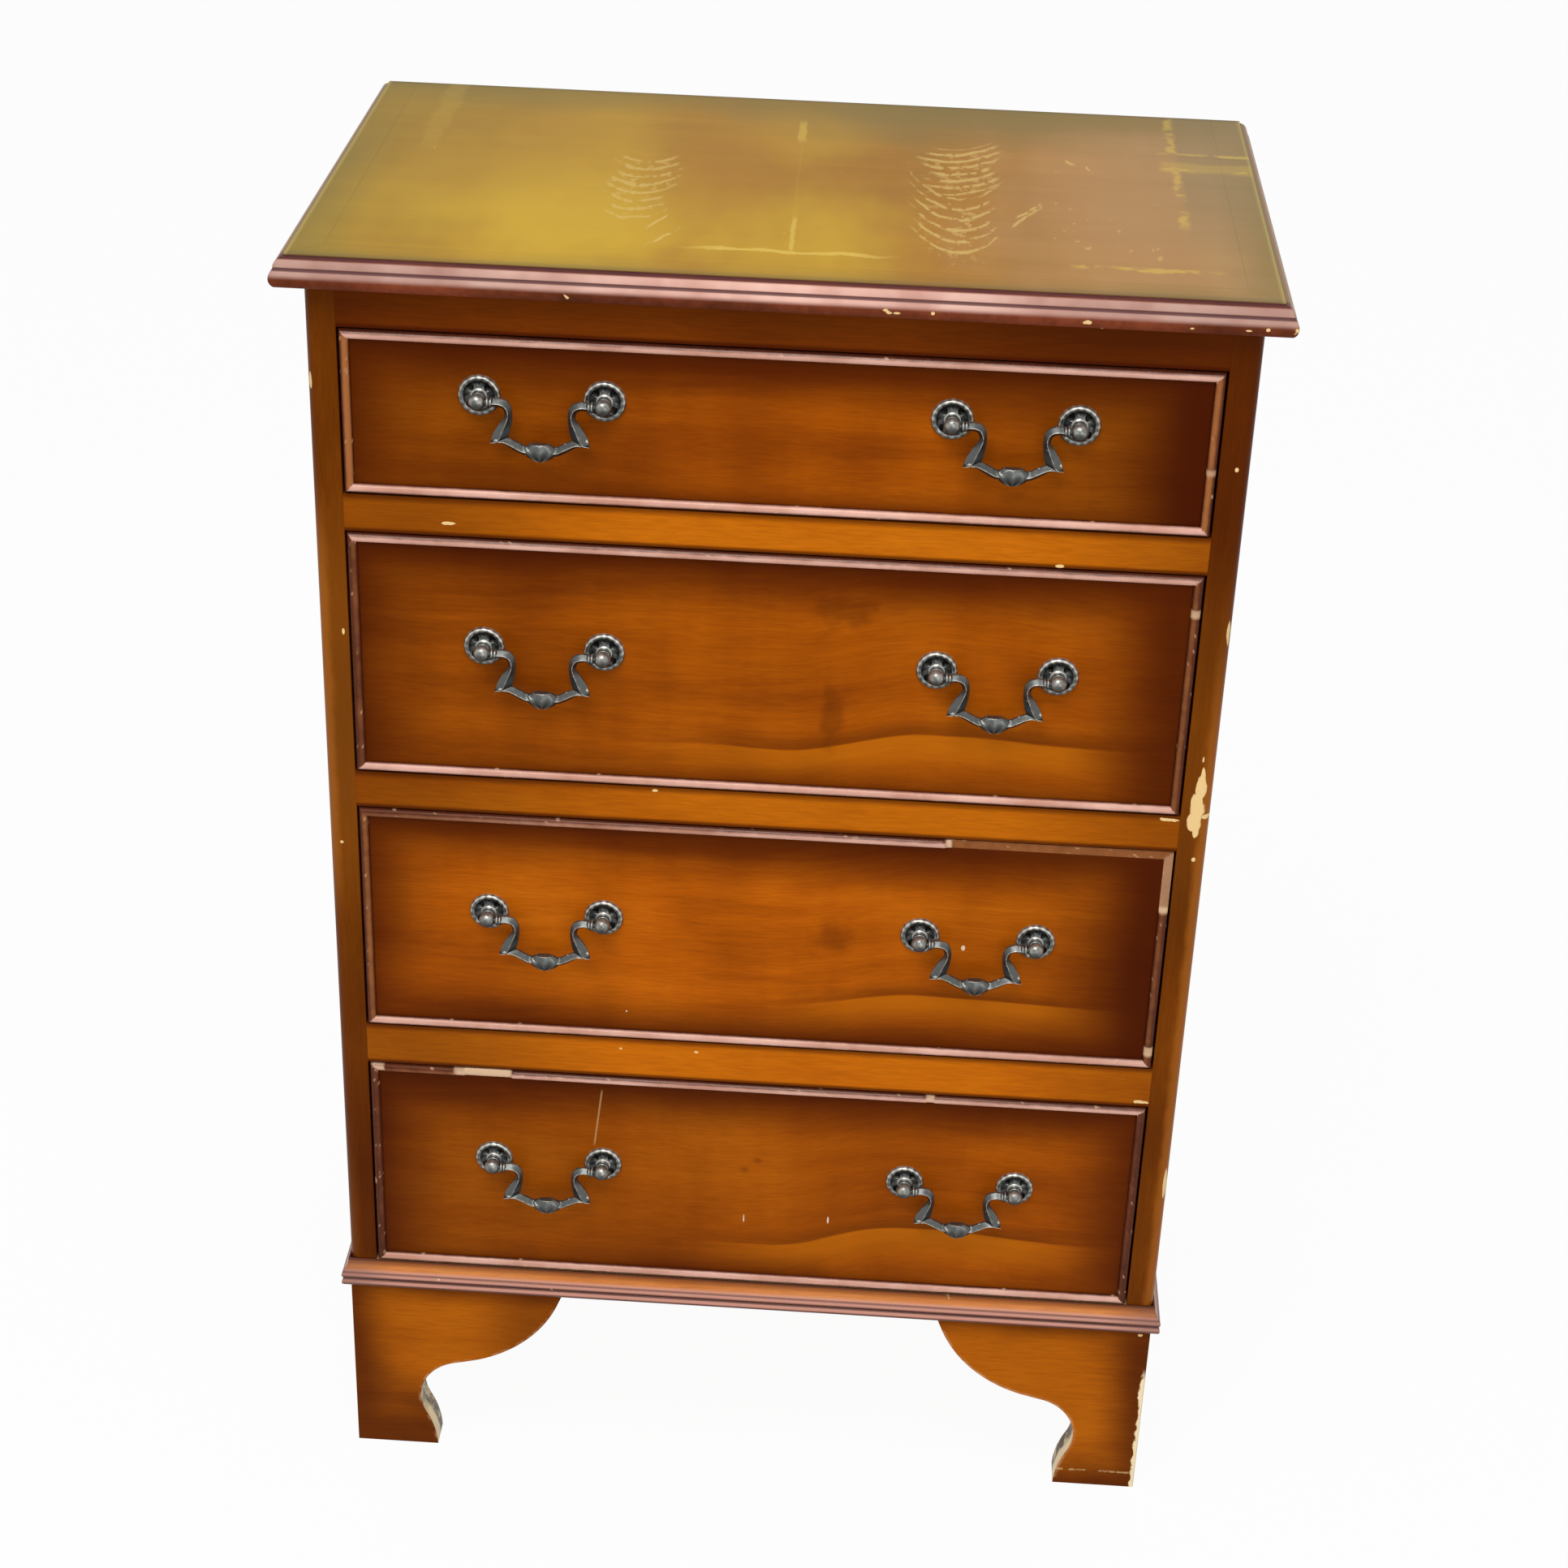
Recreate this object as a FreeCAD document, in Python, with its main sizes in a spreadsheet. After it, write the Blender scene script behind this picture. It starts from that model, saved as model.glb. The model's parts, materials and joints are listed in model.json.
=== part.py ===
import FreeCAD, Part
import math
import os

import Sketcher

Vector = FreeCAD.Vector
Rotation = FreeCAD.Rotation

# Small reproduction chest of four graduated drawers on bracket feet.
# X runs to the right, Y to the back and Z up; the origin is the middle of the footprint on the floor.

# Driving dimensions in millimetres and degrees
SIZES = {
    # Top board and its moulded lipping
    "top_width": 508.0,
    "top_depth": 312.0,
    "top_thickness": 16.0,
    "top_overhang": 14.0,
    "lipping_width": 24.0,
    "edge_inset": 7.0,
    "edge_step": 1.2,
    "quirk_height": 1.0,
    "lip_height": 9.5,
    "lip_bulge": 2.2,
    "ovolo_turn": 88.0,
    # Carcass boards
    "side_thickness": 16.0,
    "corner_round": 6.0,
    "back_thickness": 4.0,
    "back_rebate": 8.0,
    "bottom_thickness": 18.0,
    "rail_depth": 48.0,
    "top_rail_height": 23.5,
    "upper_rail_height": 21.0,
    "middle_rail_height": 22.0,
    "lower_rail_height": 26.0,
    "runner_width": 22.0,
    "stop_length": 26.0,
    "stop_depth": 8.0,
    "stop_height": 5.0,
    "stop_inset": 60.0,
    # Plinth moulding
    "plinth_height": 18.0,
    "plinth_base": 3.4,
    "plinth_reed": 5.2,
    "reed_bulge": 1.4,
    "plinth_top": 0.9,
    "cove_turn": 40.0,
    # Bracket feet
    "foot_height": 123.5,
    "foot_thickness": 18.0,
    "toe_width": 49.5,
    "ankle_width": 42.5,
    "ankle_height": 26.0,
    "toe_turn": 26.0,
    "scoop_end": 60.0,
    "scoop_top": 64.5,
    "scoop_turn": 100.0,
    "shoulder_width": 70.0,
    "shoulder_height": 67.0,
    "wing_width": 125.0,
    "side_wing_width": 112.0,
    "wing_drop": 7.5,
    "wing_turn": 56.0,
    "wing_step": 3.0,
    "rear_foot_top": 70.0,
    "rear_foot_toe": 40.0,
    "block_width": 18.0,
    "block_lift": 10.0,
    # Drawer openings and drawers
    "top_opening": 91.0,
    "deep_opening": 143.0,
    "side_gap": 1.2,
    "drawer_gap": 1.0,
    "runner_clearance": 0.3,
    "face_recess": 1.0,
    "front_thickness": 18.0,
    "drawer_length": 284.0,
    "drawer_side": 10.0,
    "drawer_back": 10.0,
    "side_drop": 9.0,
    "back_drop": 5.0,
    "back_housing": 4.0,
    "back_inset": 6.0,
    "ply_thickness": 4.0,
    "ply_lift": 9.0,
    "ply_groove": 5.0,
    "tail_cover": 1.0,
    "tail_pitch": 27.0,
    "tail_root": 8.0,
    "tail_flare": 2.0,
    "bead_width": 5.0,
    "bead_set": 7.0,
    "bead_proud": 0.6,
    # Swan-neck handles
    "handle_offset": 120.0,
    "handle_centres": 64.0,
    "top_handle_drop": 32.0,
    "deep_handle_drop": 62.0,
    "rosette_radius": 11.0,
    "rosette_height": 2.4,
    "rim_radius": 10.0,
    "dish_radius": 8.8,
    "dish_floor": 1.2,
    "pierce_centre": 6.4,
    "pierce_radius": 1.7,
    "post_foot": 4.2,
    "post_foot_height": 2.2,
    "post_neck": 2.9,
    "pommel_radius": 4.4,
    "pivot_reach": 10.0,
    "pin_radius": 1.4,
    "pin_fit": 0.05,
    "pin_length": 3.2,
    "pin_end_play": 0.4,
    "arm_width": 4.8,
    "bail_thickness": 4.6,
    "bend_start": 21.5,
    "neck_inner": 13.9,
    "neck_drop": 6.0,
    "crook_width": 16.3,
    "crook_drop": 19.0,
    "bar_end": 7.6,
    "bar_top": 23.0,
    "bar_foot": 27.7,
    "heel_width": 18.4,
    "heel_drop": 22.6,
    "ear_width": 25.5,
    "ear_drop": 21.4,
    "throat_width": 18.8,
    "throat_drop": 9.0,
    "leaf_width": 15.4,
    "leaf_top": 21.0,
    "leaf_middle": 25.8,
    "leaf_foot": 31.6,
    "leaf_shoulder_width": 10.2,
    "leaf_shoulder": 22.4,
    "leaf_toe_width": 9.4,
    "leaf_toe": 29.6,
    "leaf_thickness": 7.4,
    "leaf_bevel": 2.2,
}

# Levels and planes that follow from the driving dimensions
PLACES = {
    "carcass_half": "Sizes.top_width / 2 - Sizes.top_overhang",
    "front": "Sizes.top_overhang - Sizes.top_depth / 2",
    "rear": "Sizes.top_depth / 2",
    "board_front": "Places.rear - Sizes.back_thickness",
    "inner_half": "Places.carcass_half - Sizes.side_thickness",
    "floor_4": "Sizes.foot_height + Sizes.bottom_thickness",
    "floor_3": "Places.floor_4 + Sizes.deep_opening + Sizes.lower_rail_height",
    "floor_2": "Places.floor_3 + Sizes.deep_opening + Sizes.middle_rail_height",
    "floor_1": "Places.floor_2 + Sizes.deep_opening + Sizes.upper_rail_height",
    "ceiling": "Places.floor_1 + Sizes.top_opening",
    "underside": "Places.ceiling + Sizes.top_rail_height",
    "height": "Places.underside + Sizes.top_thickness",
    "rail_back": "Places.front + Sizes.rail_depth",
    "plinth_reach": "Sizes.plinth_base + Sizes.reed_bulge",
    "drawer_half": "Places.inner_half - Sizes.side_gap",
    "face": "Places.front + Sizes.face_recess",
    "front_back": "Places.face + Sizes.front_thickness",
    "box_back": "Places.face + Sizes.drawer_length",
    "pivot_half": "Sizes.handle_centres / 2",
    "collar": "Places.pivot_half - Sizes.pommel_radius - Sizes.pin_end_play",
}

DRAWERS = ("1", "2", "3", "4")
TOP_DRAWER = "1"
SIDES = {"left": -1, "right": 1}
ROSETTE_FACETS = 12
POST_FACETS = 8
PIN_FACETS = 8
LOZENGE_CORNERS = 4
DIAGONALS = (45, 135, 225, 315)
EDGE_TOLERANCE = 0.001
LEAVING = "leaving"
JOINING = "joining"

doc = FreeCAD.newDocument("BachelorsChest")


def make_sheet():
    """Spreadsheet of the driving dimensions."""
    sheet = doc.addObject("Spreadsheet::Sheet", "Sizes")
    for row, (alias, value) in enumerate(SIZES.items(), start=1):
        sheet.set(f"A{row}", alias)
        sheet.set(f"B{row}", str(value))
        sheet.setAlias(f"B{row}", alias)
    doc.recompute()


def make_places():
    """Variable set of the derived levels and planes."""
    variables = doc.addObject("App::VarSet", "Places")
    for name, formula in PLACES.items():
        variables.addProperty("App::PropertyFloat", name, "Places")
        variables.setExpression(name, formula)
    variables.addProperty("App::PropertyFloat", "working_value", "Working")
    doc.recompute()
    return variables


make_sheet()
places = make_places()
subparts = {}


def number(formula):
    """Present value of a formula on the sheet."""
    places.setExpression("working_value", formula)
    places.recompute()
    value = places.working_value
    places.setExpression("working_value", None)
    return value


def bind(item, formulas):
    """Tie properties of an object to formulas on the sheet."""
    for path, formula in formulas.items():
        item.setExpression(path, formula)
    return item


def place(item, position, rotation=None):
    """Set an object's fixed rotation and tie its position to formulas."""
    if rotation is not None:
        item.Placement = FreeCAD.Placement(Vector(), rotation)
    axes = ("x", "y", "z")
    return bind(item, {f"Placement.Base.{axis}": formula for axis, formula in zip(axes, position)})


def node(item, label):
    """Register an object as the sub-part with this label."""
    item.Label = label
    subparts[label] = item
    return item


def box(name, start, end):
    """Box between two corners given as formulas."""
    solid = doc.addObject("Part::Box", name)
    for prop, low, high in zip(("Length", "Width", "Height"), start, end):
        solid.setExpression(prop, f"({high}) - ({low})")
    return place(solid, start)


def cut(name, base, tools):
    """Base solid with one or more tools taken away."""
    solid = doc.addObject("Part::Cut", name)
    solid.Base = base
    solid.Tool = tools[0] if len(tools) == 1 else group(f"{name}_tools", tools)
    return solid


def group(name, items):
    """Separate solids kept together as one object."""
    compound = doc.addObject("Part::Compound", name)
    compound.Links = items
    return compound


def copy_of(name, master, position, rotation=None):
    """Linked copy of a master solid at another place."""
    link = doc.addObject("App::Link", name)
    link.LinkedObject = master
    return place(link, position, rotation)


def new_sketch(body, name, role):
    """Sketch on one of the body's own origin planes."""
    sketch = body.newObject("Sketcher::SketchObject", name)
    plane = next(item for item in body.Origin.OriginFeatures if item.Role == role)
    sketch.AttachmentSupport = [(plane, "")]
    sketch.MapMode = "FlatFace"
    return sketch


def arc_between(start, end, turn):
    """Arc from start to end that turns by an angle in degrees, to the left if positive."""
    slope = Vector(0, 0, 1).cross(end - start) / 2
    spread = Rotation(Vector(0, 0, 1), turn / 2).multVec(Vector(1, 0, 0))
    centre = (start + end) / 2 + slope * (spread.x / spread.y)
    circle = Part.Circle(centre, Vector(0, 0, 1), (start - centre).Length)
    first, last = (start, end) if turn > 0 else (end, start)
    return Part.ArcOfCircle(circle, circle.parameter(first), circle.parameter(last))


def edge_turns(corners, points):
    """Turn in degrees of each edge that follows a corner, zero for a straight one."""
    count = len(corners)
    chords = [points[(index + 1) % count] - points[index] for index in range(count)]
    angles = [math.degrees(math.atan2(chord.y, chord.x)) for chord in chords]
    marks = [corner[2] if len(corner) > 2 else None for corner in corners]
    turns = {index: 0 if mark is None else number(mark)
             for index, mark in enumerate(marks) if mark not in (LEAVING, JOINING)}
    while len(turns) < count:
        for index, mark in enumerate(marks):
            before, after = (index - 1) % count, (index + 1) % count
            if mark == LEAVING and before in turns:
                bend = angles[index] - angles[before] - turns[before] / 2
                turns[index] = 2 * math.remainder(bend, 360)
            elif mark == JOINING and after in turns:
                bend = angles[after] - turns[after] / 2 - angles[index]
                turns[index] = 2 * math.remainder(bend, 360)
    return [turns[index] for index in range(count)]


def outline(sketch, corners):
    """Closed chain through corners (x, y) or (x, y, turn), where turn bends the edge that follows.

    A turn is a formula in degrees, LEAVING for an arc that leaves tangent to the edge before it, or
    JOINING for an arc that runs tangent into the edge after it.
    """
    first = sketch.GeometryCount
    count = len(corners)
    points = [Vector(number(corner[0]), number(corner[1]), 0) for corner in corners]
    marks = [corner[2] if len(corner) > 2 else None for corner in corners]
    turns = edge_turns(corners, points)
    ends = [(2, 1) if turn < 0 else (1, 2) for turn in turns]
    constraints = []
    formulas = {}
    for index, corner in enumerate(corners):
        edge = first + index
        following = (index + 1) % count
        if marks[index] is None:
            sketch.addGeometry(Part.LineSegment(points[index], points[following]))
        else:
            arc = arc_between(points[index], points[following], turns[index])
            sketch.addGeometry(arc)
        if marks[index] not in (None, LEAVING, JOINING):
            run = f"(({corners[following][0]}) - ({corner[0]}))"
            rise = f"(({corners[following][1]}) - ({corner[1]}))"
            name = f"radius_{edge}"
            formulas[name] = f"sqrt({run}^2 + {rise}^2) / 2 / sin(abs({marks[index]}) / 2)"
            constraints.append((name, Sketcher.Constraint("Radius", edge, arc.Radius)))
        smooth = marks[index] == JOINING or marks[following] == LEAVING
        joint = (edge, ends[index][1], first + following, ends[following][0])
        constraints.append((None, Sketcher.Constraint("Tangent" if smooth else "Coincident", *joint)))
        for axis, value, formula in zip("XY", points[index], corner):
            name = f"{axis.lower()}_{edge}"
            formulas[name] = formula
            distance = (f"Distance{axis}", -1, 1, edge, ends[index][0], value)
            constraints.append((name, Sketcher.Constraint(*distance)))
    base = sketch.ConstraintCount
    sketch.addConstraint([constraint for name, constraint in constraints])
    for offset, (name, constraint) in enumerate(constraints):
        if name is not None:
            sketch.renameConstraint(base + offset, name)
    bind(sketch, {f"Constraints.{name}": formula for name, formula in formulas.items()})


def mirrored(corners):
    """The same outline on the other side of the Y axis of its sketch."""
    flipped = []
    for corner in corners:
        turn = [f"-({corner[2]})"] if len(corner) > 2 else []
        flipped.append((f"-({corner[0]})", corner[1], *turn))
    return flipped


def padded(name, role, corners, length, symmetric=False, reverse=False):
    """Body made by padding one outline."""
    body = doc.addObject("PartDesign::Body", name)
    sketch = new_sketch(body, f"{name}_outline", role)
    outline(sketch, corners)
    pad = body.newObject("PartDesign::Pad", f"{name}_pad")
    pad.Profile = sketch
    pad.SideType = "Symmetric" if symmetric else "One side"
    pad.Reversed = reverse
    bind(pad, {"Length": length})
    return body


def pocketed(body, name, role, outlines):
    """Cut outlines right through a body, both ways from an origin plane."""
    sketch = new_sketch(body, f"{name}_outline", role)
    for corners in outlines:
        outline(sketch, corners)
    pocket = body.newObject("PartDesign::Pocket", name)
    pocket.Profile = sketch
    pocket.Type = "ThroughAll"
    pocket.SideType = "Symmetric"
    return pocket


def strip(name, section, length, outer, inner, ends):
    """Moulded strip along X with its outer edge towards -Y and 45 degree mitres at the named ends (-1, 1)."""
    body = padded(name, "YZ_Plane", section, length, symmetric=True)
    width = f"(({inner}) - ({outer}))"
    mitres = []
    for end in ends:
        tip = f"{end} * ({length}) / 2"
        heel = f"{end} * (({length}) / 2 - {width})"
        mitres.append([(tip, outer), (tip, inner), (heel, inner)])
    pocketed(body, f"{name}_mitres", "XY_Plane", mitres)
    return body


def prism(name, sides, radius, height, position, rotation=None):
    """Regular prism that stands for a small round piece; radius is to its corners."""
    solid = doc.addObject("Part::Prism", name)
    solid.Polygon = sides
    bind(solid, {"Circumradius": radius, "Height": height})
    return place(solid, position, rotation)


def lofted(name, sides, sections):
    """Small turned piece along Z, faceted, through sections given as (radius, height)."""
    rings = []
    for count, (radius, height) in enumerate(sections):
        ring = doc.addObject("Part::RegularPolygon", f"{name}_ring_{count}")
        ring.Polygon = sides
        bind(ring, {"Circumradius": radius})
        rings.append(place(ring, ("0", "0", height)))
    loft = doc.addObject("Part::Loft", name)
    loft.Sections = rings
    loft.Solid = True
    loft.Ruled = True
    return loft


# Top board with a moulded lipping on the front and sides

def lipping_section():
    """Section of the top's edge: an ovolo over a quirk and a rounded lip; Y = 0 is its outermost line."""
    ovolo_foot = "Sizes.lip_height + Sizes.quirk_height"
    lip_turn = "4 * atan(2 * Sizes.lip_bulge / Sizes.lip_height)"
    return [
        ("Sizes.lipping_width", "0"),
        ("Sizes.lipping_width", "Sizes.top_thickness"),
        ("Sizes.edge_inset", "Sizes.top_thickness"),
        ("Sizes.edge_inset", "Sizes.top_thickness - Sizes.edge_step", "Sizes.ovolo_turn"),
        ("Sizes.lip_bulge", ovolo_foot),
        ("Sizes.lip_bulge", "Sizes.lip_height", lip_turn),
        ("Sizes.lip_bulge", "0"),
    ]


def make_top():
    half = "Sizes.top_width / 2"
    inset = f"({half} - Sizes.lipping_width)"
    corner = (f"-{inset}", "-Sizes.top_depth / 2 + Sizes.lipping_width", "Places.underside")
    node(box("top_board", corner, (inset, "Places.rear", "Places.height")), "top_panel")
    section = lipping_section()
    front = strip("lipping_front", section, "Sizes.top_width", "0", "Sizes.lipping_width", (-1, 1))
    node(place(front, ("0", "-Sizes.top_depth / 2", "Places.underside")), "top_moulding_front")
    for side, sign in SIDES.items():
        body = strip(f"lipping_{side}", section, "Sizes.top_depth", "0", "Sizes.lipping_width", (-sign,))
        quarter = Rotation(Vector(0, 0, 1), sign * 90)
        node(place(body, (f"{sign} * {half}", "0", "Places.underside"), quarter), f"top_moulding_{side}")


# Carcass boards

def make_side_panels():
    """Side boards with a rounded front corner, rebated for the back board."""
    for side, sign in SIDES.items():
        corners = [
            ("Places.inner_half", "Places.front"),
            ("Places.carcass_half - Sizes.corner_round", "Places.front", "90"),
            ("Places.carcass_half", "Places.front + Sizes.corner_round"),
            ("Places.carcass_half", "Places.rear"),
            ("Places.inner_half + Sizes.back_rebate", "Places.rear"),
            ("Places.inner_half + Sizes.back_rebate", "Places.board_front"),
            ("Places.inner_half", "Places.board_front"),
        ]
        corners = corners if sign > 0 else mirrored(corners)
        board = padded(f"side_{side}", "XY_Plane", corners, "Places.underside - Sizes.foot_height")
        node(place(board, ("0", "0", "Sizes.foot_height")), f"side_panel_{side}")


def make_back():
    """Back board let into the rebates of the sides."""
    reach = "(Places.inner_half + Sizes.back_rebate)"
    start = (f"-{reach}", "Places.board_front", "Sizes.foot_height")
    node(box("back_board", start, (reach, "Places.rear", "Places.underside")), "back_panel")


def make_frame():
    """Bottom board, top rails and the rails between the drawers."""
    half = "Places.inner_half"
    start = (f"-{half}", "Places.front", "Sizes.foot_height")
    node(box("bottom_board", start, (half, "Places.board_front", "Places.floor_4")), "bottom_panel")
    start = (f"-{half}", "Places.front", "Places.ceiling")
    node(box("rail_top_front", start, (half, "Places.rail_back", "Places.underside")), "top_rail_front")
    start = (f"-{half}", "Places.board_front - Sizes.rail_depth", "Places.ceiling")
    node(box("rail_top_rear", start, (half, "Places.board_front", "Places.underside")), "top_rail_rear")
    for name, floor in (("upper", "floor_1"), ("middle", "floor_2"), ("lower", "floor_3")):
        start = (f"-{half}", "Places.front", f"Places.{floor} - Sizes.{name}_rail_height")
        rail = box(f"rail_{name}", start, (half, "Places.rail_back", f"Places.{floor}"))
        node(rail, f"drawer_rail_{name}")


def make_runners():
    """Runners behind the rails, and kickers under the top that keep the first drawer level."""
    levels = [("Places.ceiling", "Places.underside")]
    for name, floor in (("upper", "floor_1"), ("middle", "floor_2"), ("lower", "floor_3")):
        levels.append((f"Places.{floor} - Sizes.{name}_rail_height", f"Places.{floor}"))
    runners = []
    for count, (low, high) in enumerate(levels):
        back = "Places.board_front - Sizes.rail_depth" if count == 0 else "Places.board_front"
        for side, sign in SIDES.items():
            edges = ["Places.inner_half", "Places.inner_half - Sizes.runner_width"]
            inner, outer = (f"{sign} * ({edge})" for edge in (edges if sign < 0 else edges[::-1]))
            start = (inner, "Places.rail_back", low)
            runners.append(box(f"runner_{count}_{side}", start, (outer, back, high)))
    node(group("runners", runners), "drawer_runners")


def make_stops():
    """Small blocks on the rails that the drawer fronts close against."""
    stops = []
    for drawer in DRAWERS:
        floor = f"Places.floor_{drawer}"
        for side, sign in SIDES.items():
            middle = f"{sign} * (Places.inner_half - Sizes.stop_inset)"
            start = (f"{middle} - Sizes.stop_length / 2", "Places.front_back", floor)
            end = (f"{middle} + Sizes.stop_length / 2", "Places.front_back + Sizes.stop_depth",
                   f"{floor} + Sizes.stop_height")
            stops.append(box(f"stop_{drawer}_{side}", start, end))
    node(group("stops", stops), "drawer_stops")


# Plinth moulding: a cove over two reeds

def plinth_section():
    """Section of the plinth moulding; Y = 0 is the carcass face."""
    reed_turn = "4 * atan(2 * Sizes.reed_bulge / Sizes.plinth_reed)"
    return [
        ("0", "0"),
        ("0", "Sizes.plinth_height"),
        ("-Sizes.plinth_top", "Sizes.plinth_height", "-Sizes.cove_turn"),
        ("-Sizes.plinth_base", "2 * Sizes.plinth_reed", reed_turn),
        ("-Sizes.plinth_base", "Sizes.plinth_reed", reed_turn),
        ("-Sizes.plinth_base", "0"),
    ]


def make_plinth():
    section = plinth_section()
    outer = "-Places.plinth_reach"
    level = "Places.floor_4 - Sizes.plinth_height"
    length = "2 * (Places.carcass_half + Places.plinth_reach)"
    front = strip("plinth_front", section, length, outer, "0", (-1, 1))
    node(place(front, ("0", "Places.front", level)), "plinth_moulding_front")
    length = "Places.rear - Places.front + Places.plinth_reach"
    middle = "(Places.rear + Places.front - Places.plinth_reach) / 2"
    for side, sign in SIDES.items():
        body = strip(f"plinth_{side}", section, length, outer, "0", (-sign,))
        quarter = Rotation(Vector(0, 0, 1), sign * 90)
        place(body, (f"{sign} * Places.carcass_half", middle, level), quarter)
        node(body, f"plinth_moulding_{side}")


# Bracket feet

def bracket_outline(wing):
    """Ogee bracket from its outer corner: toe, ankle, scoop, shoulder and a rounded wing up to the plinth."""
    return [
        ("0", "0"),
        ("Sizes.toe_width", "0", "Sizes.toe_turn"),
        ("Sizes.ankle_width", "Sizes.ankle_height", "-Sizes.scoop_turn"),
        ("Sizes.scoop_end", "Sizes.scoop_top"),
        ("Sizes.shoulder_width", "Sizes.shoulder_height", "Sizes.wing_turn"),
        (wing, "Sizes.foot_height - Sizes.wing_drop"),
        (f"{wing} + Sizes.wing_step", "Sizes.foot_height"),
        ("0", "Sizes.foot_height"),
    ]


def bracket(name, corners, sign, mitred):
    """One bracket board with its face at Y = 0, running to the side of its corner given by sign."""
    corners = corners if sign > 0 else mirrored(corners)
    body = padded(name, "XZ_Plane", corners, "Sizes.foot_thickness", reverse=True)
    if mitred:
        depth = "Sizes.foot_thickness"
        mitre = [("0", "0"), (f"{sign} * {depth}", depth), ("0", depth)]
        pocketed(body, f"{name}_mitre", "XY_Plane", [mitre])
    return body


def make_feet():
    rear_outline = [
        ("0", "0"),
        ("Sizes.rear_foot_toe", "0"),
        ("Sizes.rear_foot_top", "Sizes.foot_height"),
        ("0", "Sizes.foot_height"),
    ]
    blocks = []
    for side, sign in SIDES.items():
        corner = f"{sign} * Places.carcass_half"
        quarter = Rotation(Vector(0, 0, 1), sign * 90)
        face = bracket(f"foot_face_{side}", bracket_outline("Sizes.wing_width"), -sign, True)
        place(face, (corner, "Places.front", "0"))
        flank = bracket(f"foot_flank_{side}", bracket_outline("Sizes.side_wing_width"), sign, True)
        place(flank, (corner, "Places.front", "0"), quarter)
        node(group(f"front_foot_{side}", [face, flank]), f"foot_front_{side}")
        flank = bracket(f"rear_flank_{side}", bracket_outline("Sizes.side_wing_width"), -sign, False)
        place(flank, (corner, "Places.rear", "0"), quarter)
        inner_corner = f"{sign} * (Places.carcass_half - Sizes.foot_thickness)"
        plain = bracket(f"rear_plain_{side}", rear_outline, sign, False)
        place(plain, (inner_corner, "Places.rear", "0"), Rotation(Vector(0, 0, 1), 180))
        node(group(f"rear_foot_{side}", [flank, plain]), f"foot_rear_{side}")
        blocks += glue_blocks(side, sign)
    node(group("glue_blocks", blocks), "foot_glue_blocks")


def glue_blocks(side, sign):
    """Square blocks glued into the corners of one side's feet."""
    start = f"{sign} * (Places.carcass_half - Sizes.foot_thickness)"
    end = f"{sign} * (Places.carcass_half - Sizes.foot_thickness - Sizes.block_width)"
    low, high = (start, end) if sign < 0 else (end, start)
    depths = {
        "front": ("Places.front + Sizes.foot_thickness",
                  "Places.front + Sizes.foot_thickness + Sizes.block_width"),
        "rear": ("Places.rear - Sizes.foot_thickness - Sizes.block_width",
                 "Places.rear - Sizes.foot_thickness"),
    }
    return [
        box(f"glue_block_{where}_{side}", (low, near, "Sizes.block_lift"), (high, far, "Sizes.foot_height"))
        for where, (near, far) in depths.items()
    ]


# Drawers

def drawer_levels(drawer):
    """Bottom and top of a drawer front, and its handle's pivot height, as formulas."""
    opening = "Sizes.top_opening" if drawer == TOP_DRAWER else "Sizes.deep_opening"
    drop = "Sizes.top_handle_drop" if drawer == TOP_DRAWER else "Sizes.deep_handle_drop"
    low = f"(Places.floor_{drawer} + Sizes.drawer_gap)"
    high = f"(Places.floor_{drawer} + {opening} - Sizes.drawer_gap)"
    return low, high, f"({high} - {drop})"


def drawer_side_outline(low, high):
    """Drawer side in the YZ plane with dovetails along its front end."""
    tails = max(1, round((number(high) - number(low)) / number("Sizes.tail_pitch")))
    pitch = f"(({high}) - ({low})) / {tails}"
    root = "Sizes.tail_root"
    tip = "(Sizes.tail_root + Sizes.tail_flare)"
    corners = [("Places.front_back", low)]
    for tail in range(tails):
        middle = f"({low} + ({tail} + 1 / 2) * {pitch})"
        end = "Places.face + Sizes.bead_set + Sizes.tail_cover"
        corners.append(("Places.front_back", f"{middle} - {root}"))
        corners.append((end, f"{middle} - {tip}"))
        corners.append((end, f"{middle} + {tip}"))
        corners.append(("Places.front_back", f"{middle} + {root}"))
    corners += [("Places.front_back", high), ("Places.box_back", high), ("Places.box_back", low)]
    return corners


def bead_section():
    """Section of a cock bead: square behind, half round in front; Z = 0 is the drawer's face."""
    nose = "Sizes.bead_proud"
    return [
        ("0", "-Sizes.bead_set"),
        ("Sizes.bead_width", "-Sizes.bead_set"),
        ("Sizes.bead_width", nose, "90"),
        ("Sizes.bead_width / 2", f"{nose} + Sizes.bead_width / 2", "90"),
        ("0", nose),
    ]


def make_beads(drawer, low, high):
    """Four mitred cock beads set into the edges of one drawer front."""
    section = bead_section()
    middle = f"({low} + {high}) / 2"
    width = "2 * Places.drawer_half"
    edges = (
        ("lower", 0, width, ("0", low)),
        ("right", -90, f"{high} - {low}", ("Places.drawer_half", middle)),
        ("upper", 180, width, ("0", high)),
        ("left", 90, f"{high} - {low}", ("-Places.drawer_half", middle)),
    )
    beads = []
    for edge, angle, length, (across, level) in edges:
        body = strip(f"bead_{drawer}_{edge}", section, length, "0", "Sizes.bead_width", (-1, 1))
        facing = Rotation(Vector(0, 1, 0), angle) * Rotation(Vector(1, 0, 0), 90)
        beads.append(place(body, (across, "Places.face", level), facing))
    return node(group(f"beads_{drawer}", beads), f"drawer_{drawer}_cock_beads")


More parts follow.
